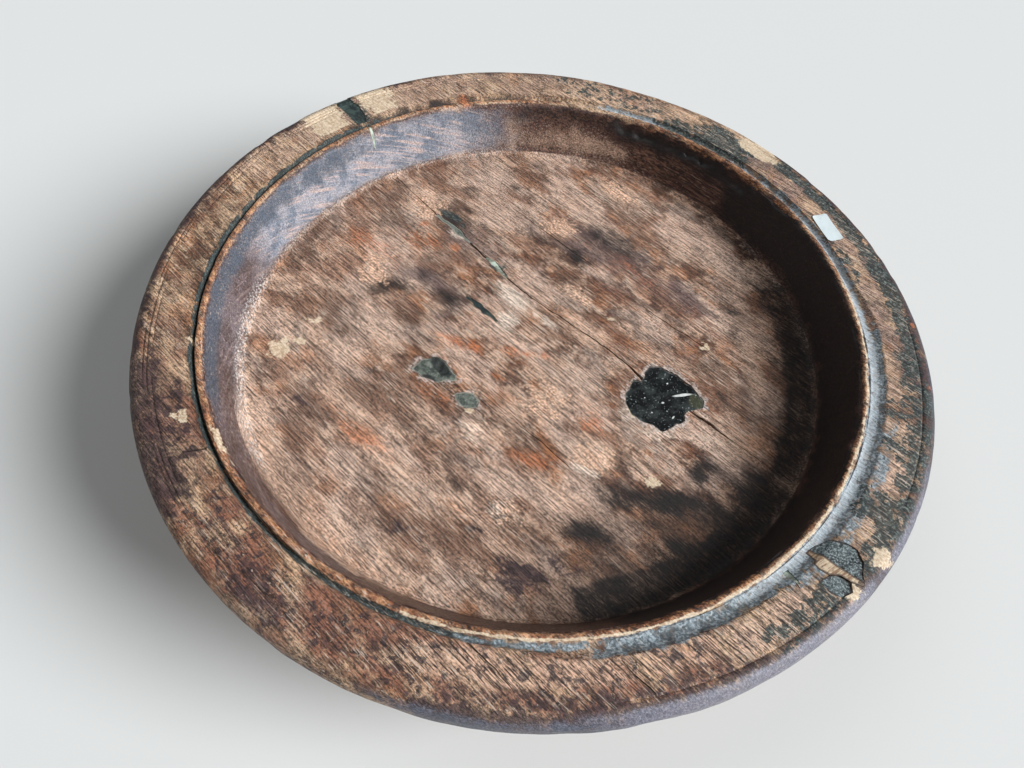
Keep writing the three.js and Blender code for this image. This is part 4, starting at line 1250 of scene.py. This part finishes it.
def grained(look, wood):
    """Wood with fine grain, pale scratches and specks, cream paint, and painted shade inside the cuts.
    """
    grain = look.sum(("strokes", 0.15), ("lines", 0.4), ("grit", 0.3), ("dust", 0.15))
    grain = look.ramp(grain, 0.43, 0.57, 0.3, 1.74)
    bare = look.sum(("wall", -0.35), ("lilac", -0.6), ("slate", -0.55), (1, 1))
    # Stain, painted shadow and darker tone, and plum paint, where scratches and specks fade
    stains_and_shadow = look.sum(("dark", 1), ("shade", 0.5), ("plum", 0.6))
    clear = look.times(bare, look.ramp(stains_and_shadow, 0.6, 0.2))
    scratches = look.ramp("clouds", 0.42, 0.56, 0.75, 0.15)
    scratches = look.times(look.ramp("hatches", 0.42, 0.36), scratches)
    fine = look.sum(("strokes", 0.5), ("dust", 0.5))
    cream = look.blend(fine, 0.42, 0.58, (232, 213, 186), (190, 162, 132))
    return look.layers(
        wood,
        (bare, look.mix(1, wood, grain, "MULTIPLY")),
        (look.times(scratches, clear), (212, 190, 172)),
        (look.times(look.ramp("dust", 0.66, 0.72, 0.7), clear), (206, 190, 176)),
        (look.cover("cream", "patched", 0.5, 0.25, 0.88), cream),
        # Painted shade inside the cuts, darker with depth
        ("below", (16, 12, 10)),
    )


def dish_look():
    """Old wood with stain marks, bleached and rubbed places, paint traces, and painted shadow, shade,
    sheen and highlights.
    """
    look = Look(
        "dish_wood",
        broad=(15, 3, 0.5, 1.8),
        hues=(24, 4, 0.55, 1.5),
        warmth=(36, 4, 0.6, 1.4),
        clouds=(46, 7, 0.7, 1.5),
        flakes=(90, 5, 0.66, 4.5),
        streaks=(52, 4, 0.68, 12),
        hatches=(80, 3, 0.6, 15),
        patches=(150, 4, 0.65),
        strokes=(150, 3, 0.75, 11),
        lines=(46, 3, 0.7, 26),
        grit=(560, 2, 0.7, 2.2),
        dust=(640, 3, 0.6),
    )
    dish_fields(look)
    look.fields["scrapes"] = look.noise(1, 4, 0.6, place=slanted(look))
    wood = look.mix("tan", floor_wood(look), rim_wood(look))
    wood = look.mix(look.cover("wall", "clouded", 0.3, 0.3), wood, wall_wood(look))
    for treated in (stained_and_shaded, paint_and_sheen, sheen_and_crust, grained):
        wood = treated(look, wood)
    roughness = look.sum(
        ("wall", -0.28), ("lilac", -0.3), ("slate", -0.15), ("clouds", 0.3), (1, 0.58)
    )
    height = look.sum(("strokes", -0.35), ("lines", -0.4), ("streaks", -0.3), ("dust", 0.25))
    return look.finish(wood, roughness, height, 0.0008, 0.8, specular=0.45)


def pedestal_look():
    """Darker handled wood of the turned foot, rubbed pale at its edges and dusty low down."""
    look = Look(
        "pedestal_wood",
        streaks=(55, 5, 0.65, 12),
        clouds=(40, 6, 0.7, 1.5),
        patches=(130, 4, 0.65),
        pores=(130, 3, 0.6, 11),
        dust=(640, 3, 0.6),
    )
    colour = look.layers(
        look.blend("clouds", 0.42, 0.58, (66, 44, 35), (128, 94, 72)),
        (look.ramp("streaks", 0.52, 0.64, 0.7), (44, 31, 27)),
        (look.ramp("patches", 0.56, 0.62, 0.7), (38, 31, 32)),
        (look.ramp("pores", 0.55, 0.64, 0.7), (24, 17, 14)),
        (look.ramp("pores", 0.42, 0.34, 0.5), (168, 134, 108)),
        (look.cover("rubbed", "patches", 1.0, 0.3, 0.8), (164, 122, 92)),
        (look.times("dusty", look.ramp("dust", 0.46, 0.62, 0.8, 0.1)), (156, 144, 134)),
    )
    height = look.sum(("streaks", 0.6), ("pores", -0.6), ("dust", 0.2))
    return look.finish(colour, 0.6, height, 0.0006, 0.8)


def filler_look():
    """Grey-green putty with grit in it, pale at its edge, with a crescent of painted shadow."""
    look = Look("filler", blotches=(160, 5, 0.65), grit=(900, 3, 0.6))
    colour = look.layers(
        look.blend("blotches", 0.38, 0.62, (58, 66, 60), (112, 118, 108)),
        (look.ramp("grit", 0.55, 0.7, 0.7), (146, 150, 142)),
        (look.ramp("grit", 0.45, 0.35, 0.6), (26, 30, 28)),
        (look.cover("rim", "blotches", 1.0, 0.35, 0.7), (162, 160, 148)),
        # Painted shadow in the pit of the filling
        (look.cover("shadow_crescent", "blotches", 0.8, 0.3, 0.9), (28, 32, 31)),
    )
    return look.finish(colour, 0.66, "grit", 0.0006)


def rim_filler_look():
    """Dark slate putty full of pale grit."""
    look = Look("rim_filler", blotches=(140, 5, 0.65), grit=(1000, 3, 0.65))
    colour = look.layers(
        look.blend("blotches", 0.4, 0.6, (40, 48, 50), (82, 92, 94)),
        (look.ramp("grit", 0.5, 0.62, 0.85), (150, 162, 164)),
        (look.ramp("grit", 0.45, 0.36, 0.7), (16, 20, 21)),
        (look.cover("rim", "blotches", 1.1, 0.35, 0.8), (52, 38, 34)),
    )
    return look.finish(colour, 0.62, "grit", 0.0006)


def pale_filler_look():
    """Pale mint filler with brown dirt in its hollows."""
    look = Look("pale_filler", blotches=(220, 5, 0.65))
    colour = look.blend("blotches", 0.4, 0.62, (186, 198, 184), (112, 114, 100))
    return look.finish(colour, 0.75, "blotches", 0.0005)


def paint_filler_look():
    """Dark green filler with a skin of old paint."""
    look = Look("paint_filler", blotches=(150, 6, 0.65), scratches=(120, 4, 0.6, 12))
    colour = look.blend("blotches", 0.4, 0.62, (30, 40, 40), (62, 78, 74))
    colour = look.mix(look.ramp("scratches", 0.58, 0.7, 0.6), colour, (122, 132, 124))
    return look.finish(colour, 0.5, "blotches", 0.0005)


def resin_look():
    """Glossy black resin with specks, white flecks and an olive lobe."""
    look = Look("resin", blotches=(120, 5, 0.6), specks=(800, 3, 0.5), veins=(260, 4, 0.6, 1, 1.2))
    colour = look.layers(
        look.blend("blotches", 0.45, 0.65, (14, 16, 17), (34, 40, 40)),
        (look.ramp("veins", 0.58, 0.68, 0.5), (70, 78, 78)),
        (look.cover("olive", "veins", 0.7, 0.3, 0.8), (72, 74, 58)),
        (look.cover("rim", "veins", 1.2, 0.3, 0.7), (112, 110, 104)),
        (look.ramp("specks", 0.64, 0.7, 0.8), (160, 166, 164)),
        (look.ramp("fleck", 0.35, 0.7), (214, 216, 212)),
    )
    return look.finish(colour, look.ramp("blotches", 0.4, 0.65, 0.5, 0.24), "blotches", 0.0012)


def splint_look():
    """Pale splint wood, dirty in its pores."""
    look = Look("splint_wood", dirt=(120, 5, 0.65))
    look.fields["streaks"] = look.noise(70, 5, 0.65, place=look.place(50, (14, 1, 14)))
    colour = look.layers(
        look.blend("streaks", 0.42, 0.58, (138, 108, 82), (204, 182, 154)),
        (look.ramp("dirt", 0.55, 0.64, 0.85), (72, 52, 42)),
        (look.cover("rim", "dirt", 1.0, 0.3, 0.8), (58, 44, 38)),
    )
    return look.finish(colour, 0.7, "streaks", 0.0005)


def pitch_look():
    look = Look("pitch", lumps=(180, 4, 0.6))
    return look.finish((26, 22, 19), look.ramp("lumps", 0.3, 0.7, 0.6, 0.35), "lumps", 0.0006)


def label_look():
    """White paper, faintly dirty."""
    look = Look("label_paper", dirt=(140, 5, 0.65))
    colour = look.mix(look.ramp("dirt", 0.5, 0.75, 0.5), (214, 224, 226), (182, 188, 186))
    return look.finish(colour, 0.5, "dirt", 0.0002)


LOOKS = {
    "dish_wood": dish_look(),
    "pedestal_wood": pedestal_look(),
    "filler": filler_look(),
    "rim_filler": rim_filler_look(),
    "pale_filler": pale_filler_look(),
    "paint_filler": paint_filler_look(),
    "resin": resin_look(),
    "splint_wood": splint_look(),
    "pitch": pitch_look(),
    "label_paper": label_look(),
}
# Nodes whose look isn't the one named after their slot
OTHER_LOOKS = {
    "rim_fill_left_of_splint": "rim_filler",
    "rim_fill_right_of_splint": "rim_filler",
}


# Pieces


def hand_over(piece, node, slot, sharp_angle):
    """Smooths a piece, gives it its look and lets it stand for a node of the model."""
    piece.data.shade_smooth()
    piece.data.set_sharp_from_angle(angle=math.radians(sharp_angle))
    piece.data.materials.clear()
    piece.data.materials.append(LOOKS[OTHER_LOOKS.get(node, slot)])
    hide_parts(node)
    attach(piece, BODY)


def cut_cracks(dish):
    """Cuts the two stretches of the long crack, and the hairlines."""
    for number, points in enumerate((FAR_CRACK, NEAR_CRACK)):
        carve(dish, ragged_strip(points, CRACK_SEED + number, 0.5), FLOOR_TOP, CRACK_DEPTH)
    for number, (points, surface) in enumerate(HAIRLINES):
        carve(dish, ragged_strip(points, HAIRLINE_SEED + number, 0.4), surface, HAIRLINE_DEPTH)


def make_dish():
    """Cuts the slab, and fills each mend's pocket with a piece of its own."""
    dish = dish_blank()
    cut_cracks(dish)
    for number, (node, outline, surface, depth, relief, slot, rough) in enumerate(MENDS):
        edge = ragged_outline(outline, MEND_SEED + 10 * number, rough)
        carve(dish, edge, surface, depth)
        fill = block_under(f"fill_{node}", edge, surface - depth + FIT_GAP, relief)
        carve(fill, drawn_in(edge, FIT_GAP), surface, depth + 1, "INTERSECT")
        paint_fill(fill, edge)
        hand_over(fill, node, slot, sharp_angle=50)
    paint_dish(dish)
    hand_over(dish, "dish", "dish_wood", sharp_angle=42)


def pedestal_profile():
    """Radii and heights from the foot's hollow, out under the ring and up to the tenon's top."""
    inner = FOOT_RADIUS - FOOT_RING_WIDTH
    under = SEAT_HEIGHT - SHOULDER_HEIGHT
    edge = FOOT_RADIUS - FOOT_ROUND
    step = (FOOT_RADIUS - FOOT_STEP, FOOT_HEIGHT)
    waist = (WAIST_RADIUS, (FOOT_HEIGHT + under) / 2)
    profile = sweep((0, FOOT_HOLLOW_DEPTH), (inner, FOOT_HOLLOW_DEPTH), (inner, 0), 16)
    profile += [(r, 0) for r in span(inner + 5, edge, 5)]
    profile += arc((edge, FOOT_ROUND), FOOT_ROUND, -90, 0, 4)
    profile += arc((edge, FOOT_HEIGHT - FOOT_ROUND), FOOT_ROUND, 0, 90, 4)
    profile += sweep(step, waist, (SHOULDER_RADIUS, under), 18)
    profile += [(SHOULDER_RADIUS, h) for h in span(under + 1.2, SEAT_HEIGHT, 1.2)]
    profile += [(r, SEAT_HEIGHT) for r in (SHOULDER_RADIUS, TENON_RADIUS)]
    return profile + [(r, TENON_TOP) for r in (TENON_RADIUS, 20, 0)]


def pedestal_wear(ring, azimuth, radius):
    x, y, z = ring.T
    if radius > TENON_RADIUS + 2 and z[0] > 1:
        ring[:, :2] *= (1 + 0.4 * noise(x, y + 2 * z, 22.0, 601) / radius)[:, None]
    return ring


def make_pedestal():
    pedestal = lathe("pedestal_wood", pedestal_profile(), PEDESTAL_SEGMENTS, pedestal_wear)
    x, y, z = places_of(pedestal)
    inset = np.hypot(x, y) - FOOT_RADIUS
    low_edge = np.clip(1 - np.hypot(inset, np.minimum(z, FOOT_HEIGHT - z) - 1) / FOOT_RUB, 0, 1)
    step_edge = np.clip(1 - np.hypot(inset + FOOT_STEP, z - FOOT_HEIGHT) / STEP_RUB, 0, 1)
    add_mark(pedestal, "rubbed", np.maximum(low_edge, 0.6 * step_edge))
    dusty = 1 - np.abs(z - FOOT_HEIGHT - DUST_RISE) / DUST_REACH
    add_mark(pedestal, "dusty", np.clip(dusty, 0, 1))
    hand_over(pedestal, "pedestal", "pedestal_wood", sharp_angle=40)


def make_label():
    """Label that lies on the rim and lifts a little at its corners."""
    half_length = LABEL_LENGTH / 2
    half_width = LABEL_WIDTH / 2
    middle_x, middle_y = around(LABEL_AZIMUTH, RIM_INNER + LABEL_INSET + half_width)
    u, v = np.meshgrid(*(np.linspace(-1, 1, count) for count in LABEL_GRID), indexing="ij")
    # The grid's corners are drawn in to quarter rounds.
    over_out = np.clip(np.abs(v * half_width) - (half_width - LABEL_CORNER), 0, None)
    over_side = np.clip(np.abs(u * half_length) - (half_length - LABEL_CORNER), 0, None)
    reach = np.hypot(over_out, over_side)
    pull = np.where(reach > LABEL_CORNER, LABEL_CORNER / np.maximum(reach, 1e-6), 1)
    out = np.sign(v) * (np.abs(v * half_width) - over_out * (1 - pull))
    side = np.sign(u) * (np.abs(u * half_length) - over_side * (1 - pull))
    dx, dy = turned(out, side, LABEL_AZIMUTH + LABEL_TILT)
    x = middle_x + dx
    y = middle_y + dy
    lift = LABEL_LIFT * (np.abs(u) ** 3 * np.abs(v) ** 2)
    low = np.maximum(top_height(x, y), RIM_TOP - 0.1) + LABEL_GLUE + lift
    label = grid_block("paper_label", x, y, low, low + LABEL_THICKNESS)
    hand_over(label, "lot_label", "label_paper", sharp_angle=50)


make_dish()
make_pedestal()
make_label()
pitch_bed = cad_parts["tenon_pitch_bed"].data
pitch_bed.materials.clear()
pitch_bed.materials.append(LOOKS["pitch"])


# Stage, light and camera


def make_floor():
    corners = [(-1, -1), (1, -1), (1, 1), (-1, 1)]
    points = [(x * FLOOR_HALF, y * FLOOR_HALF, 0) for x, y in corners]
    floor = mesh_object("floor", points, [(0, 1, 2, 3)])
    floor.data.materials.append(Look("floor").finish(FLOOR_COLOUR, 0.8))


def add_lamp(name, azimuth, elevation, spread, power, colour):
    """Soft even lamp, whose light falls from a direction and over a spread of angles."""
    lamp = bpy.data.lights.new(name, "SUN")
    lamp.angle = math.radians(spread)
    lamp.energy = power
    lamp.color = colour
    piece = bpy.data.objects.new(name, lamp)
    piece.rotation_euler = (math.radians(90 - elevation), 0, math.radians(azimuth + 90))
    bpy.context.scene.collection.objects.link(piece)


def make_sky():
    """Faint light from all round, and a pale backdrop that only the camera sees."""
    world = bpy.data.worlds.new("studio")
    world.use_nodes = True
    tree = world.node_tree
    light = tree.nodes["Background"]
    light.inputs["Color"].default_value = SKY_COLOUR
    light.inputs["Strength"].default_value = SKY_POWER
    backdrop = tree.nodes.new("ShaderNodeBackground")
    backdrop.inputs["Color"].default_value = linear(BACKDROP_COLOUR)
    seen = tree.nodes.new("ShaderNodeLightPath").outputs["Is Camera Ray"]
    choice = tree.nodes.new("ShaderNodeMixShader")
    for number, output in enumerate((seen, light.outputs[0], backdrop.outputs[0])):
        tree.links.new(output, choice.inputs[number])
    tree.links.new(choice.outputs[0], tree.nodes["World Output"].inputs["Surface"])
    bpy.context.scene.world = world


def make_camera():
    camera = bpy.data.cameras.new("camera")
    camera.sensor_width = CAMERA_SENSOR
    camera.lens = CAMERA_LENS
    camera.clip_start = CAMERA_NEAR
    piece = bpy.data.objects.new("camera", camera)
    piece.location = CAMERA_PLACE
    piece.rotation_euler = [math.radians(angle) for angle in CAMERA_TURN]
    bpy.context.scene.collection.objects.link(piece)
    bpy.context.scene.camera = piece


make_floor()
for lamp_values in LAMPS:
    add_lamp(*lamp_values)
make_sky()
make_camera()
bpy.context.scene.view_settings.view_transform = "Standard"
